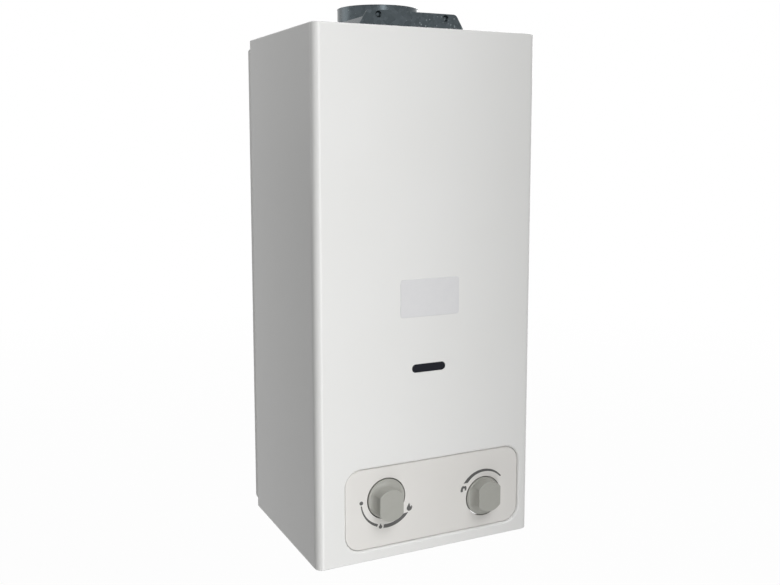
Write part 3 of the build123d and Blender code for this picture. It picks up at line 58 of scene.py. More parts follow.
# Places read from the frame
cover_low, cover_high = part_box("front_cover")
fascia_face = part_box("control_fascia")[0].y
gas_low, gas_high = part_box("gas_knob")
water_low, water_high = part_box("water_knob")
cover_middle = (cover_low + cover_high) / 2
gas_centre = (gas_low + gas_high) / 2
water_centre = (water_low + water_high) / 2

# Openings round the knobs, and where the painted shade on their walls fades out past the edge
knob_gap = 1.0 * MM
knob_opening = (gas_high.x - gas_low.x) / 2 + knob_gap
painted_shade_fade_start = 0.1 * MM
painted_shade_fade_end = 0.2 * MM

# Blank badge on the cover's front
badge_width = 70.4 * MM
badge_height = 40.5 * MM
badge_corner = 3.2 * MM
badge_corner_steps = 6
badge_thickness = 0.5 * MM
badge_round = 0.2 * MM
badge_round_steps = 3
badge_shift = 1.2 * MM
badge_rise = 280.0 * MM

# Dial marks on the fascia, in degrees and millimetres about each knob
ink_thickness = 0.12 * MM
ink_curve_steps = 6
dot_knots = 8
dot_radius = 2.1
dot_place = (181.6, 29.3)
thin_arc = {
    "outer": (188.0, 250.0), "inner": (188.0, 250.0), "radii": (29.6, 30.4), "widths": (1.3, 1.9, 3.0),
}
thick_arc = {
    "outer": (264.0, 323.0), "inner": (264.0, 313.0), "radii": (30.8, 30.8), "widths": (3.9, 4.1, 4.5),
}
water_arc = {
    "outer": (145.0, 41.0), "inner": (138.0, 41.0), "radii": (29.4, 30.0), "widths": (4.0, 2.9, 1.6),
}
arc_steps = 6
small_flame_place = (257.0, 30.8)
small_flame_height = 5.8
big_flame_place = (332.5, 31.2)
big_flame_height = 8.8
tap_place = (155.0, 28.4)
tap_height = 6.8

# Half-inch pipe threads on the unions' ends
thread_pitch = 1.814 * MM
thread_radius = 10.48 * MM
thread_height = 0.5 * MM
thread_sink = 0.15 * MM
thread_flank = 0.75 * MM
thread_length = 17.5 * MM
thread_steps = 40

# Camera, from the photograph's vanishing lines in its 780 by 585 frame, with most of the shift as pitch
photo_width = 780
focal_pixels = 934.4
sensor_width = 36.0
camera_place = Vector((-464.7, -1074.4, -69.0)) * MM
camera_yaw = 25.860
camera_pitch = -6.873
camera_roll = -0.011
camera_shift = -0.048
nearest_seen = 0.05
farthest_seen = 100.0

# Studio
floor_level = -1.35
floor_radius = 30.0
floor_corners = 96
floor_white_below = 0.97
floor_fade_start = 1.0
floor_fade_end = 6.0
key_place = Vector((-0.090, -0.655, -0.420))
key_aim = Vector((-0.320, -0.21, -0.441))
key_size = (0.14, 1.8)
key_power = 2.98
side_place = Vector((-0.78, 0.55, 0.20))
side_aim = Vector((-0.13, -0.05, -0.22))
side_size = (0.5, 0.9)
side_power = 1.75
top_place = Vector((0.8, -3.0, 3.0))
top_aim = Vector((0.0, -0.21, -0.25))
top_size = (1.8, 1.8)
top_power = 71.0
fill_place = Vector((1.3, 1.5, 0.7))
fill_aim = Vector((0.0, 0.0, -0.22))
fill_size = (1.2, 1.2)
fill_power = 22.0
ambient_strength = 0.078


def linear(code, alpha=1.0):
    """An sRGB hex colour as the linear values that the shader takes."""
    channels = [int(code[n:n + 2], 16) / 255 for n in (1, 3, 5)]
    return (*[c / 12.92 if c <= 0.04045 else ((c + 0.055) / 1.055) ** 2.4 for c in channels], alpha)


def across(size):
    """The texture scale at which a pattern's cells are this many millimetres across."""
    return 1000.0 / size


def banded(spacing):
    """The wave texture's scale at which its bands are this many millimetres apart."""
    return pi / 10 * across(spacing)


def add(tree, kind, inputs=None, out=None, **settings):
    """Adds a shader node with its settings. An input is a value or another node's output."""
    node = tree.nodes.new("ShaderNode" + kind)
    for name, value in settings.items():
        setattr(node, name, value)
    for socket, value in (inputs or {}).items():
        if isinstance(value, bpy.types.NodeSocket):
            tree.links.new(value, node.inputs[socket])
        else:
            node.inputs[socket].default_value = value
    shown = [socket for socket in node.outputs if socket.enabled]
    return node.outputs[out] if out else (shown[0] if shown else None)


def new_finish(name):
    """An empty material, with its node tree and the surface coordinates in metres."""
    material = bpy.data.materials.new(name)
    material.use_nodes = True
    material.node_tree.nodes.clear()
    return material, material.node_tree, add(material.node_tree, "TexCoord", out="Object")


def surfaced(material, **sockets):
    """Closes a material with its surface shader, whose sockets are given by name."""
    tree = material.node_tree
    shader = add(tree, "BsdfPrincipled", {name.replace("_", " "): value for name, value in sockets.items()})
    add(tree, "OutputMaterial", {"Surface": shader})
    return material


def gloss_powder_coat():
    """Steel, powder coated and baked: a white gloss that levels to a faint orange peel."""
    material, tree, place = new_finish("gloss_powder_coated_steel")
    peel = add(tree, "TexNoise", {"Vector": place, "Scale": across(3.0), "Detail": 1.0})
    cloud = add(tree, "TexNoise", {"Vector": place, "Scale": across(120.0), "Detail": 2.0})
    tone = add(tree, "Mix", {SHARE: cloud, A: linear("#ECECEA"), B: linear("#F0F0EF")}, data_type="RGBA")
    gloss = add(tree, "MapRange", {"Value": cloud, "To Min": 0.21, "To Max": 0.27})
    ripple = add(tree, "Bump", {"Strength": 0.10, "Distance": 0.03 * MM, "Height": peel})
    return surfaced(material, Base_Color=tone, Roughness=gloss, Normal=ripple, IOR=1.5)


def satin_powder_coat():
    """Steel, powder coated with a finer, flatter powder: satin, with a fine even texture."""
    material, tree, place = new_finish("satin_powder_coated_steel")
    # The real grit is about 0.4 mm across. It is drawn coarser, so that it shows.
    grit = add(tree, "TexNoise", {"Vector": place, "Scale": across(1.2), "Detail": 2.0})
    cloud = add(tree, "TexNoise", {"Vector": place, "Scale": across(60.0), "Detail": 3.0})
    tone = add(tree, "Mix", {SHARE: cloud, A: linear("#EDEDEB"), B: linear("#F2F2F0")}, data_type="RGBA")
    gloss = add(tree, "MapRange", {"Value": grit, "To Min": 0.42, "To Max": 0.56})
    relief = add(tree, "Bump", {"Strength": 0.15, "Distance": 0.04 * MM, "Height": grit})
    return surfaced(material, Base_Color=tone, Roughness=gloss, Normal=relief, IOR=1.5)


def grained_white_abs():
    """ABS, moulded against a spark-eroded mould: warm white, a fine matte grain, and painted shade round the
    knobs.
    """
    material, tree, place = new_finish("grained_white_ABS")
    # The real grain is about 0.1 mm across. It is drawn coarser, so that it shows.
    grain = add(tree, "TexNoise", {"Vector": place, "Scale": across(0.9), "Detail": 3.0})
    cloud = add(tree, "TexNoise", {"Vector": place, "Scale": across(70.0), "Detail": 2.0})
    unshaded = add(tree, "Mix", {SHARE: cloud, A: linear("#E3E1DD"), B: linear("#E7E5E2")}, data_type="RGBA")
    # Painted shade: a grey on the walls of the openings, found by the distance from the nearer knob's axis
    level = add(tree, "VectorMath", {0: place, 1: (1.0, 0.0, 1.0)}, operation="MULTIPLY")
    ways = [
        add(tree, "VectorMath", {0: level, 1: (axis.x, 0.0, axis.z)}, out="Value", operation="DISTANCE")
        for axis in (gas_centre, water_centre)
    ]
    near = add(tree, "Math", {0: ways[0], 1: ways[1]}, operation="MINIMUM")
    painted_shade = add(tree, "MapRange", {
        "Value": near, "To Min": 1.0, "To Max": 0.0,
        "From Min": knob_opening + painted_shade_fade_start, "From Max": knob_opening + painted_shade_fade_end,
    })
    # The grey is painted shade, for the shadow in the gaps round the knobs
    tone = add(tree, "Mix", {SHARE: painted_shade, A: unshaded, B: linear("#74726D")}, data_type="RGBA")
    gloss = add(tree, "MapRange", {"Value": grain, "To Min": 0.46, "To Max": 0.60})
    relief = add(tree, "Bump", {"Strength": 0.22, "Distance": 0.03 * MM, "Height": grain})
    return surfaced(material, Base_Color=tone, Roughness=gloss, Normal=relief, IOR=1.53)


def moulded_grey_abs():
    """ABS, moulded in a warm grey: satin, and rubbed a little smoother in patches."""
    material, tree, place = new_finish("moulded_grey_ABS")
    # The real grain is about 0.1 mm across. It is drawn coarser, so that it shows.
    grain = add(tree, "TexNoise", {"Vector": place, "Scale": across(0.8), "Detail": 2.0})
    rub = add(tree, "TexNoise", {"Vector": place, "Scale": across(14.0), "Detail": 4.0, "Roughness": 0.6})
    tone = add(tree, "Mix", {SHARE: rub, A: linear("#A3A39C"), B: linear("#ADADA7")}, data_type="RGBA")
    gloss = add(tree, "MapRange", {"Value": rub, "To Min": 0.36, "To Max": 0.52})
    relief = add(tree, "Bump", {"Strength": 0.12, "Distance": 0.03 * MM, "Height": grain})
    return surfaced(material, Base_Color=tone, Roughness=gloss, Normal=relief, IOR=1.53)


def tinted_glass():
    """Float glass with a dark blue tint: a clear gloss with the odd fine smear."""
    material, tree, place = new_finish("tinted_float_glass")
    smear = add(tree, "TexNoise", {"Vector": place, "Scale": across(16.0), "Detail": 3.0, "Distortion": 1.5})
    tone = add(tree, "Mix", {SHARE: smear, A: linear("#0B0D16"), B: linear("#121522")}, data_type="RGBA")
    gloss = add(tree, "MapRange", {"Value": smear, "To Min": 0.02, "To Max": 0.14})
    return surfaced(material, Base_Color=tone, Roughness=gloss, IOR=1.52, Specular_IOR_Level=0.18)


def galvanised_sheet():
    """Steel, hot-dip galvanised with a fine spangle: dark zinc with small crystals and bright flecks."""
    material, tree, place = new_finish("galvanised_sheet_steel")
    warp = add(tree, "TexNoise", {"Vector": place, "Scale": across(5.0), "Detail": 3.0}, out="Color")
    # The edges of the crystals wander by up to 2 mm
    bent = add(tree, "Mix", {SHARE: 2.0 * MM, A: place, B: warp}, data_type="RGBA", blend_type="ADD")
    crystal = add(tree, "TexVoronoi", {"Vector": bent, "Scale": across(4.0)}, out="Color")
    facet = add(tree, "RGBToBW", {"Color": crystal})
    drift = add(tree, "TexNoise", {"Vector": place, "Scale": across(30.0), "Detail": 1.0})
    spot = add(tree, "TexVoronoi", {"Vector": place, "Scale": across(3.4)}, out="Distance")
    reach = add(tree, "MapRange", {"Value": drift, "From Min": 0.35, "From Max": 0.60, "To Max": 0.27})
    fleck = add(tree, "MapRange", {
        "Value": spot, "From Min": 0.0, "From Max": reach, "To Min": 1.0, "To Max": 0.0,
    })
    zinc = add(tree, "Mix", {SHARE: facet, A: linear("#454C4F"), B: linear("#535A5E")}, data_type="RGBA")
    tone = add(tree, "Mix", {SHARE: fleck, A: zinc, B: linear("#A9B1B4")}, data_type="RGBA")
    gloss = add(tree, "MapRange", {"Value": facet, "To Min": 0.22, "To Max": 0.34})
    relief = add(tree, "Bump", {"Strength": 0.10, "Distance": 0.03 * MM, "Height": facet})
    return surfaced(material, Base_Color=tone, Metallic=1.0, Roughness=gloss, Normal=relief)


def zinc_plated_steel():
    """Steel, bright zinc plated: a cool silver with a faint rainbow haze."""
    material, tree, place = new_finish("zinc_plated_steel")
    haze = add(tree, "TexNoise", {"Vector": place, "Scale": across(6.0), "Detail": 4.0})
    # The real polishing marks are about 0.1 mm across. They are drawn coarser, so that they show.
    grind = add(tree, "TexNoise", {"Vector": place, "Scale": across(0.7), "Detail": 2.0})
    tone = add(tree, "Mix", {SHARE: haze, A: linear("#8E9498"), B: linear("#A5A69C")}, data_type="RGBA")
    gloss = add(tree, "MapRange", {"Value": grind, "To Min": 0.24, "To Max": 0.40})
    relief = add(tree, "Bump", {"Strength": 0.12, "Distance": 0.02 * MM, "Height": grind})
    return surfaced(material, Base_Color=tone, Metallic=1.0, Roughness=gloss, Normal=relief)


def heat_stained_steel():
    """Stainless steel, pressed and heated in use: grey with straw and blue stains."""
    material, tree, place = new_finish("heat_stained_stainless_steel")
    stain = add(tree, "TexNoise", {"Vector": place, "Scale": across(18.0), "Detail": 4.0, "Distortion": 0.6})
    # The real rolling marks are about 0.2 mm across. They are drawn coarser, so that they show.
    rolled = add(tree, "TexNoise", {"Vector": place, "Scale": across(0.8), "Detail": 3.0})
    straw = add(tree, "Mix", {SHARE: stain, A: linear("#84827C"), B: linear("#94805F")}, data_type="RGBA")
    blue = add(tree, "MapRange", {"Value": stain, "From Min": 0.58, "From Max": 0.75})
    tone = add(tree, "Mix", {SHARE: blue, A: straw, B: linear("#5D6472")}, data_type="RGBA")
    gloss = add(tree, "MapRange", {"Value": rolled, "To Min": 0.28, "To Max": 0.46})
    relief = add(tree, "Bump", {"Strength": 0.10, "Distance": 0.02 * MM, "Height": rolled})
    return surfaced(material, Base_Color=tone, Metallic=1.0, Roughness=gloss, Normal=relief)


def drawn_copper():
    """Copper, drawn and brazed: salmon metal with brown oxide and darker heat marks."""
    material, tree, place = new_finish("drawn_copper")
    oxide = add(tree, "TexNoise", {"Vector": place, "Scale": across(26.0), "Detail": 5.0, "Roughness": 0.62})
    # The real drawing marks are about 0.2 mm across. They are drawn coarser, so that they show.
    draw = add(tree, "TexNoise", {"Vector": place, "Scale": across(1.0), "Detail": 2.0})
    bright = add(tree, "Mix", {SHARE: oxide, A: linear("#B8714F"), B: linear("#96543A")}, data_type="RGBA")
    burnt = add(tree, "MapRange", {"Value": oxide, "From Min": 0.60, "From Max": 0.80})
    tone = add(tree, "Mix", {SHARE: burnt, A: bright, B: linear("#5C3A2E")}, data_type="RGBA")
    gloss = add(tree, "MapRange", {"Value": oxide, "To Min": 0.24, "To Max": 0.48})
    relief = add(tree, "Bump", {"Strength": 0.08, "Distance": 0.02 * MM, "Height": draw})
    return surfaced(material, Base_Color=tone, Metallic=1.0, Roughness=gloss, Normal=relief)


def turned_brass():
    """Brass, turned and pressed: yellow metal with fine tool marks and a light tarnish."""
    material, tree, place = new_finish("turned_brass")
    tarnish = add(tree, "TexNoise", {"Vector": place, "Scale": across(9.0), "Detail": 4.0})
    # The real tool marks are about 0.15 mm apart. They are drawn wider, so that they show.
    tool = add(tree, "TexWave", {"Vector": place, "Scale": banded(0.5), "Distortion": 0.4},
               bands_direction="Z")
    tone = add(tree, "Mix", {SHARE: tarnish, A: linear("#B79A58"), B: linear("#97793F")}, data_type="RGBA")
    gloss = add(tree, "MapRange", {"Value": tarnish, "To Min": 0.22, "To Max": 0.40})
    relief = add(tree, "Bump", {"Strength": 0.10, "Distance": 0.02 * MM, "Height": tool})
    return surfaced(material, Base_Color=tone, Metallic=1.0, Roughness=gloss, Normal=relief)


def die_cast_alloy():
    """Aluminium alloy, die cast and barrel finished: soft grey with a fine pebbled skin."""
    material, tree, place = new_finish("die_cast_aluminium")
    flow = add(tree, "TexNoise", {"Vector": place, "Scale": across(20.0), "Detail": 4.0, "Distortion": 0.8})
    # The real pebbles are about 0.5 mm across. They are drawn coarser, so that they show.
    pebble = add(tree, "TexVoronoi", {"Vector": place, "Scale": across(1.4)})
    tone = add(tree, "Mix", {SHARE: flow, A: linear("#8B8D8E"), B: linear("#A0A2A2")}, data_type="RGBA")
    gloss = add(tree, "MapRange", {"Value": flow, "To Min": 0.40, "To Max": 0.58})
    relief = add(tree, "Bump", {"Strength": 0.20, "Distance": 0.05 * MM, "Height": pebble})
    return surfaced(material, Base_Color=tone, Metallic=1.0, Roughness=gloss, Normal=relief)


def moulded_black_abs():
    """ABS, moulded in black: a low sheen over a fine leathery grain."""
    material, tree, place = new_finish("moulded_black_ABS")
    grain = add(tree, "TexVoronoi", {"Vector": place, "Scale": across(1.1)})
    cloud = add(tree, "TexNoise", {"Vector": place, "Scale": across(22.0), "Detail": 3.0})
    tone = add(tree, "Mix", {SHARE: cloud, A: linear("#1B1B1C"), B: linear("#242425")}, data_type="RGBA")
    gloss = add(tree, "MapRange", {"Value": cloud, "To Min": 0.40, "To Max": 0.55})
    relief = add(tree, "Bump", {"Strength": 0.18, "Distance": 0.03 * MM, "Height": grain})
    return surfaced(material, Base_Color=tone, Roughness=gloss, Normal=relief, IOR=1.53)


def moulded_rubber():
    """Nitrile rubber, moulded: dull black with a dusty bloom."""
    material, tree, place = new_finish("moulded_nitrile_rubber")
    bloom = add(tree, "TexNoise", {"Vector": place, "Scale": across(8.0), "Detail": 5.0})
    tone = add(tree, "Mix", {SHARE: bloom, A: linear("#1A1A1A"), B: linear("#2B2A28")}, data_type="RGBA")
    gloss = add(tree, "MapRange", {"Value": bloom, "To Min": 0.62, "To Max": 0.80})
    return surfaced(material, Base_Color=tone, Roughness=gloss, IOR=1.52)


def glazed_ceramic():
    """Steatite ceramic, glazed and fired: cream, with a clear gloss and small dark specks."""
    material, tree, place = new_finish("glazed_ceramic")
    speck = add(tree, "TexNoise", {"Vector": place, "Scale": across(0.8), "Detail": 2.0})
    dark = add(tree, "MapRange", {"Value": speck, "From Min": 0.70, "From Max": 0.78})
    tone = add(tree, "Mix", {SHARE: dark, A: linear("#E9E5DA"), B: linear("#A59A86")}, data_type="RGBA")
    gloss = add(tree, "MapRange", {"Value": speck, "To Min": 0.10, "To Max": 0.22})
    return surfaced(material, Base_Color=tone, Roughness=gloss, IOR=1.6)


def silicone_sleeve():
    """Silicone rubber, extruded over wire: brick red, with a soft sheen and faint mottling."""
    material, tree, place = new_finish("extruded_silicone_rubber")
    mottle = add(tree, "TexNoise", {"Vector": place, "Scale": across(4.0), "Detail": 3.0})
    tone = add(tree, "Mix", {SHARE: mottle, A: linear("#8E3527"), B: linear("#A1432F")}, data_type="RGBA")
    gloss = add(tree, "MapRange", {"Value": mottle, "To Min": 0.45, "To Max": 0.60})
    return surfaced(material, Base_Color=tone, Roughness=gloss, IOR=1.43)


def vinyl_sleeve():
    """Vinyl, extruded over wire: mid grey with a slight gloss and faint mottling."""
    material, tree, place = new_finish("extruded_vinyl")
    mottle = add(tree, "TexNoise", {"Vector": place, "Scale": across(5.0), "Detail": 3.0})
    tone = add(tree, "Mix", {SHARE: mottle, A: linear("#6A6B6D"), B: linear("#7C7D7E")}, data_type="RGBA")
    gloss = add(tree, "MapRange", {"Value": mottle, "To Min": 0.32, "To Max": 0.45})
    return surfaced(material, Base_Color=tone, Roughness=gloss, IOR=1.53)


def shrunk_cell_wrap():
    """Polymer film, shrunk on a steel can: plain slate with a soft gloss and fine shrink lines."""
    material, tree, place = new_finish("shrunk_film_wrap")
    lines = add(tree, "TexWave", {"Vector": place, "Scale": banded(1.2), "Distortion": 2.0},
                bands_direction="Z")
    cloud = add(tree, "TexNoise", {"Vector": place, "Scale": across(15.0), "Detail": 3.0})
    tone = add(tree, "Mix", {SHARE: cloud, A: linear("#3E434C"), B: linear("#4A505A")}, data_type="RGBA")
    gloss = add(tree, "MapRange", {"Value": cloud, "To Min": 0.22, "To Max": 0.34})
    relief = add(tree, "Bump", {"Strength": 0.05, "Distance": 0.02 * MM, "Height": lines})
    return surfaced(material, Base_Color=tone, Roughness=gloss, Normal=relief, IOR=1.5)


def pad_printed_ink():
    """Ink, pad printed on plastic: dark grey, matte, with a slightly uneven film."""
    material, tree, place = new_finish("pad_printed_ink")
    film = add(tree, "TexNoise", {"Vector": place, "Scale": across(1.5), "Detail": 3.0})
    tone = add(tree, "Mix", {SHARE: film, A: linear("#4E4E4D"), B: linear("#626261")}, data_type="RGBA")
    gloss = add(tree, "MapRange", {"Value": film, "To Min": 0.50, "To Max": 0.65})
    return surfaced(material, Base_Color=tone, Roughness=gloss, IOR=1.5)


def coated_badge_film():
    """Polycarbonate film badge, back coated in pale grey: neutral, with a clear, slightly wavy gloss."""
    material, tree, place = new_finish("coated_polycarbonate_film")
    wave = add(tree, "TexNoise", {"Vector": place, "Scale": across(9.0), "Detail": 1.0})
    tone = add(tree, "Mix", {SHARE: wave, A: linear("#E1E1E3"), B: linear("#E5E5E6")}, data_type="RGBA")
    gloss = add(tree, "MapRange", {"Value": wave, "To Min": 0.14, "To Max": 0.22})
    relief = add(tree, "Bump", {"Strength": 0.05, "Distance": 0.03 * MM, "Height": wave})
    return surfaced(material, Base_Color=tone, Roughness=gloss, Normal=relief, IOR=1.58)


def seen_directly(tree):
    """1 for rays from the lens, or seen in metal or through glass, and 0 for rays that light things."""
    lens = add(tree, "LightPath", out="Is Camera Ray")
    mirror = add(tree, "LightPath", out="Is Glossy Ray")
    through = add(tree, "LightPath", out="Is Transmission Ray")
    either = add(tree, "Math", {0: lens, 1: mirror}, operation="MAXIMUM")
    return add(tree, "Math", {0: either, 1: through}, operation="MAXIMUM")


def studio_paper():
    """Paper, matte white: seen as white by the lens and in reflections, with a soft shadow below."""
    material, tree, place = new_finish("matte_white_paper")
    fibre = add(tree, "TexNoise", {"Vector": place, "Scale": across(30.0), "Detail": 4.0})
    tone = add(tree, "Mix", {SHARE: fibre, A: linear("#E9E9E7"), B: linear("#EEEEEC")}, data_type="RGBA")
    paper = add(tree, "BsdfDiffuse", {"Color": tone})
    white = add(tree, "Emission", {"Color": linear("#FFFFFF"), "Strength": 1.0})
    seen = seen_directly(tree)
    distance = add(tree, "VectorMath", {0: place}, out="Value", operation="LENGTH")
    away = add(tree, "MapRange", {
        "Value": distance, "To Min": floor_white_below,
        "From Min": floor_fade_start, "From Max": floor_fade_end,
    })
    share = add(tree, "Math", {0: seen, 1: away}, operation="MULTIPLY")
    mixed = add(tree, "MixShader", {0: share, 1: paper, 2: white})
    add(tree, "OutputMaterial", {"Surface": mixed})
    return material


# The nodes that have each finish
FINISHES = {
    gloss_powder_coat: ["front_cover"],
    satin_powder_coat: ["back_pan"],
    grained_white_abs: ["control_fascia"],
    moulded_grey_abs: ["gas_knob", "water_knob", "battery_lid"],
    tinted_glass: ["sight_glass"],
    galvanised_sheet: [
        "draught_hood", "hood_front_plate", "draught_baffle", "flue_collar", "burner_tray",
        "connection_bracket", "chassis_brackets",
    ],
    zinc_plated_steel: [
        "sight_clip", "collar_rivets", "gas_solenoid", "valve_screws", "valve_standoffs", "cover_screws",
        "hood_screws", "cell_contacts", "electrode_holder", "thermostats",
    ],
    heat_stained_steel: [
        "burner_bars", "gas_stem", "return_spring", "diaphragm_plate", "switch_lever", "electrode_tips",
    ],
    drawn_copper: ["combustion_shell", "fin_block", "return_bends", "wrap_coil", "hot_pipe"],
    turned_brass: [
        "gas_spindle", "water_spindle", "end_elbows", "pipe_nuts", "injectors", "water_valve_cover",
        "water_valve_body", "switch_collar", "gas_union", "cold_union", "hot_union",
    ],
    die_cast_alloy: ["gas_manifold", "gas_riser", "gas_valve_body", "gas_valve_cap"],
    moulded_black_abs: ["drain_plug", "microswitch", "battery_box", "ignition_controller"],
    moulded_rubber: ["diaphragm"],
    glazed_ceramic: ["electrode_rods"],
    silicone_sleeve: ["spark_lead"],
    vinyl_sleeve: ["control_leads"],
    shrunk_cell_wrap: ["cells"],
}


def dress_frame():
    """Gives every carried-over node its finish."""
    for finish, names in FINISHES.items():
        material = finish()
        for name in names:
            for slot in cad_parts[name].material_slots:
                slot.material = material


def in_scene(name, data):
    """A new object with this data, in the scene."""
    thing = bpy.data.objects.new(name, data)
    bpy.context.scene.collection.objects.link(thing)
    return thing


def mesh_from(name, shape):
    """The mesh of a finished shape."""
    mesh = bpy.data.meshes.new(name)
    shape.to_mesh(mesh)
    shape.free()
    return mesh


def piece_from(name, mesh, material):
    """A new piece on the casing, with its finish."""
    mesh.materials.clear()
    mesh.materials.append(material)
    piece = in_scene(name, mesh)
    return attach(piece, "casing")


def polar(angle, radius):
    """A point about a knob's centre, in millimetres, right and up as seen from the front."""
    return radius * cos(radians(angle)), radius * sin(radians(angle))


def disc_outline(angle, radius, size):
    """A round dot at a place on the dial."""
    x, y = polar(angle, radius)
    turns = [2 * pi * n / dot_knots for n in range(dot_knots)]
    return [(x + size * cos(turn), y + size * sin(turn), "AUTO") for turn in turns]


def blend_of(values, share):
    """The value at a share of the way along a short row of values."""
    place = share * (len(values) - 1)
    step = min(int(place), len(values) - 2)
    return values[step] + (values[step + 1] - values[step]) * (place - step)


def arc_outline(outer, inner, radii, widths):
    """A curved stroke round the dial: its edges' angles, and a radius and width that change along it."""
    shares = [n / arc_steps for n in range(arc_steps + 1)]
    edges = []
    for side, angles in ((1, outer), (-1, inner)):
        for share in shares if side > 0 else reversed(shares):
            angle, radius = blend_of(angles, share), blend_of(radii, share)
            kind = "VECTOR" if share in (0, 1) else "AUTO"
            edges.append((*polar(angle, radius + side * blend_of(widths, share) / 2), kind))
    return edges


def placed(shares, place, height):
    """An upright symbol whose points are shares of its height, set at a place on the dial."""
    x, y = polar(*place)
    return [(x + height * right, y + height * rise, kind) for right, rise, kind in shares]


# Outlines of the printed symbols, right and up from their middle, as shares of the height
drop_shares = [
    (0.05, 0.58, "VECTOR"), (-0.15, 0.22, "AUTO"), (-0.36, -0.12, "AUTO"), (0.0, -0.46, "AUTO"),
    (0.36, -0.12, "AUTO"), (0.18, 0.22, "AUTO"),
]
flame_shares = [
    (-0.04, 0.55, "VECTOR"), (-0.19, 0.24, "AUTO"), (-0.35, -0.06, "AUTO"), (-0.32, -0.31, "AUTO"),
    (-0.03, -0.50, "AUTO"), (0.23, -0.40, "AUTO"), (0.38, -0.12, "AUTO"), (0.36, 0.07, "AUTO"),
    (0.30, 0.17, "VECTOR"), (0.19, -0.03, "VECTOR"), (0.11, 0.12, "AUTO"), (0.04, 0.32, "AUTO"),
]
tap_shares = [
    (-0.52, -0.44, "AUTO"), (-0.49, -0.02, "AUTO"), (-0.33, 0.34, "AUTO"), (-0.07, 0.49, "AUTO"),
    (0.20, 0.40, "AUTO"), (0.35, 0.45, "AUTO"), (0.50, 0.34, "AUTO"), (0.53, -0.11, "AUTO"),
    (0.41, -0.32, "AUTO"), (0.24, -0.26, "AUTO"), (0.22, -0.02, "AUTO"), (0.06, 0.08, "AUTO"),
    (-0.09, -0.05, "AUTO"), (-0.14, -0.42, "AUTO"), (-0.33, -0.50, "AUTO"),
]


def printed_marks(name, centre, outlines, material):
    """Printed marks as a very thin film on the fascia's face, round one knob."""
    curve = bpy.data.curves.new(name, "CURVE")
    curve.dimensions, curve.fill_mode = "2D", "BOTH"
    curve.extrude, curve.resolution_u = ink_thickness / 2, ink_curve_steps
    for points in outlines:
        spline = curve.splines.new("BEZIER")
        spline.bezier_points.add(len(points) - 1)
        spline.use_cyclic_u = True
        for knot, (right, rise, kind) in zip(spline.bezier_points, points):
            knot.co = (right * MM, rise * MM, 0)
            knot.handle_left_type = knot.handle_right_type = kind
    pattern = in_scene(name, curve)
    mesh = bpy.data.meshes.new_from_object(pattern.evaluated_get(bpy.context.evaluated_depsgraph_get()))
    bpy.data.objects.remove(pattern)
    face = fascia_face - ink_thickness / 2
    mesh.transform(Matrix.Translation((centre.x, face, centre.z)) @ Matrix.Rotation(pi / 2, 4, "X"))
    return piece_from(name, mesh, material)


def dial_marks():
    """The marks round both knobs: off dot, arcs, flames, and a tap."""
    ink = pad_printed_ink()
    gas_marks = [
        disc_outline(*dot_place, dot_radius),
        arc_outline(**thin_arc),
        placed(drop_shares, small_flame_place, small_flame_height),
        arc_outline(**thick_arc),
        placed(flame_shares, big_flame_place, big_flame_height),
    ]
    water_marks = [
        placed(tap_shares, tap_place, tap_height),
        arc_outline(**water_arc),
    ]
    printed_marks("gas_dial_marks", gas_centre, gas_marks, ink)
    printed_marks("water_dial_marks", water_centre, water_marks, ink)


def rounded_corners(width, height, radius, steps):
    """The corner points of a rounded rectangle about its centre, anticlockwise."""
    points = []
    for quarter, (right, up) in enumerate(((1, 1), (-1, 1), (-1, -1), (1, -1))):
        for n in range(steps + 1):
            angle = (quarter + n / steps) * pi / 2
            x = right * (width / 2 - radius) + radius * cos(angle)
            points.append((x, up * (height / 2 - radius) + radius * sin(angle)))
    return points


def blank_badge():
    """Bare badge plate on the cover's front, its front edge slightly rounded."""
    shape = bmesh.new()
    x, z = cover_middle.x + badge_shift, cover_low.z + badge_rise
    back_face = cover_low.y
    corners = rounded_corners(badge_width, badge_height, badge_corner, badge_corner_steps)
    rear = [shape.verts.new((x + right, back_face, z + up)) for right, up in corners]
    plate = shape.faces.new(rear)
    lifted = bmesh.ops.extrude_face_region(shape, geom=[plate])["geom"]
    moved = [item for item in lifted if isinstance(item, bmesh.types.BMVert)]
    bmesh.ops.translate(shape, vec=(0, -badge_thickness, 0), verts=moved)
    rim = [edge for edge in shape.edges if all(vert in moved for vert in edge.verts)]
    bmesh.ops.bevel(shape, geom=rim, offset=badge_round, segments=badge_round_steps, affect="EDGES")
    bmesh.ops.recalc_face_normals(shape, faces=shape.faces)
    return piece_from("blank_badge", mesh_from("blank_badge", shape), coated_badge_film())


def thread_ridge(union):
    """Raised helical ridge on a union's lower end, which dies out over a turn at both ends."""
    low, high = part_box(union)
    middle = (low + high) / 2
    turns = thread_length / thread_pitch
    count = int(turns * thread_steps)
    foot = thread_radius - thread_sink
    shape = bmesh.new()
    rows = []
    for share in (n / count for n in range(count + 1)):
        angle, rise = 2 * pi * turns * share, low.z + thread_flank + thread_length * share
        crest = thread_radius + thread_height * min(1, share * turns, (1 - share) * turns)
        profile = (foot, -thread_flank), (crest, 0), (foot, thread_flank)
        places = [(middle.x + r * cos(angle), middle.y + r * sin(angle), rise + z) for r, z in profile]
        rows.append([shape.verts.new(place) for place in places])
    for one, two in zip(rows, rows[1:]):
        for near, far in ((0, 1), (1, 2), (2, 0)):
            shape.faces.new((one[near], one[far], two[far], two[near]))
    for end in (rows[0], rows[-1]):
        shape.faces.new(end)
    bmesh.ops.recalc_face_normals(shape, faces=shape.faces)
    mesh = mesh_from(union + "_thread", shape)
    mesh.shade_smooth()
    return mesh


def union_threads():
    """Pipe threads below the casing, of the same brass as their unions."""
    for union in ("gas_union", "cold_union", "hot_union"):
        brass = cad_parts[union].material_slots[0].material
        piece_from(union + "_thread", thread_ridge(union), brass)


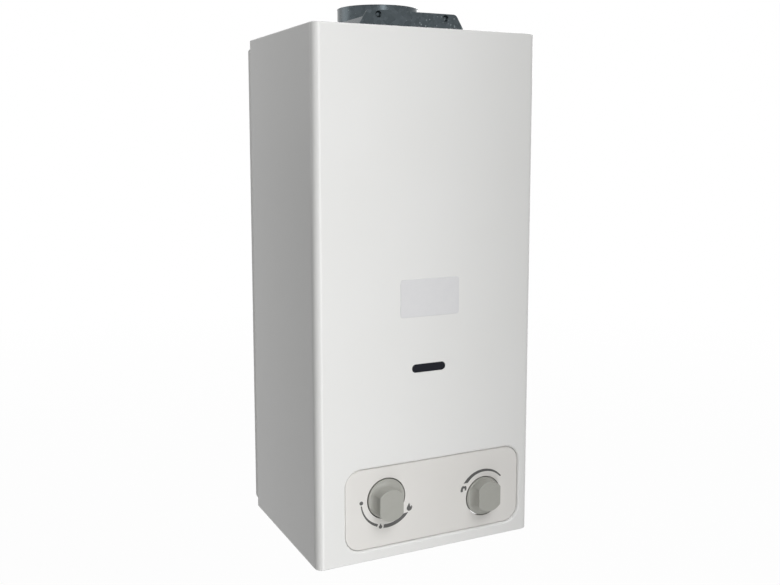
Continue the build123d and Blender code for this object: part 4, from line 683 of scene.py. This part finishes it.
def pressed_spring():
    """The gas valve's spring, as a copy with its own mesh in place of the hidden original."""
    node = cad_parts["return_spring"]
    steel = node.material_slots[0].material
    spring = piece_from("pressed_return_spring", node.data.copy(), steel)
    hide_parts("return_spring")
    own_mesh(spring)


def studio_floor():
    """Pale round floor, far below because the heater hangs on a wall."""
    shape = bmesh.new()
    bmesh.ops.create_circle(shape, cap_ends=True, radius=floor_radius, segments=floor_corners)
    mesh = mesh_from("studio_floor", shape)
    mesh.materials.append(studio_paper())
    floor = in_scene("studio_floor", mesh)
    floor.location.z = floor_level


def soft_box(name, place, aim, size, power):
    """A soft light, wide by tall, that faces a point and isn't seen by the lens."""
    lamp = bpy.data.lights.new(name, "AREA")
    lamp.shape, lamp.energy = "RECTANGLE", power
    lamp.size, lamp.size_y = size
    light = in_scene(name, lamp)
    light.location = place
    light.rotation_euler = (aim - place).to_track_quat("-Z", "Y").to_euler()
    light.visible_camera = False


def studio_light():
    """White surroundings, a tall soft key in front, a lamp above, and weak fills on the left and behind."""
    world = bpy.data.worlds.new("white_surroundings")
    world.use_nodes = True
    tree = world.node_tree
    tree.nodes.clear()
    dim = add(tree, "Background", {"Color": linear("#FFFFFF"), "Strength": ambient_strength})
    white = add(tree, "Background", {"Color": linear("#FFFFFF"), "Strength": 1.0})
    mixed = add(tree, "MixShader", {0: seen_directly(tree), 1: dim, 2: white})
    add(tree, "OutputWorld", {"Surface": mixed})
    bpy.context.scene.world = world
    soft_box("front_soft_box", key_place, key_aim, key_size, key_power)
    soft_box("top_soft_box", top_place, top_aim, top_size, top_power)
    soft_box("side_soft_box", side_place, side_aim, side_size, side_power)
    soft_box("rear_soft_box", fill_place, fill_aim, fill_size, fill_power)


def photo_camera():
    """The photograph's viewpoint."""
    lens = bpy.data.cameras.new("photo_camera")
    lens.sensor_width, lens.lens = sensor_width, sensor_width * focal_pixels / photo_width
    lens.shift_y = camera_shift
    lens.clip_start, lens.clip_end = nearest_seen, farthest_seen
    camera = in_scene("photo_camera", lens)
    yaw, pitch = radians(camera_yaw), radians(camera_pitch)
    sight = Vector((sin(yaw) * cos(pitch), cos(yaw) * cos(pitch), sin(pitch)))
    turn = sight.to_track_quat("-Z", "Y") @ Quaternion((0, 0, 1), radians(camera_roll))
    camera.location = camera_place
    camera.rotation_euler = turn.to_euler()
    bpy.context.scene.camera = camera


dress_frame()
dial_marks()
blank_badge()
union_threads()
pressed_spring()
studio_floor()
studio_light()
photo_camera()
bpy.context.scene.view_settings.view_transform = "Standard"
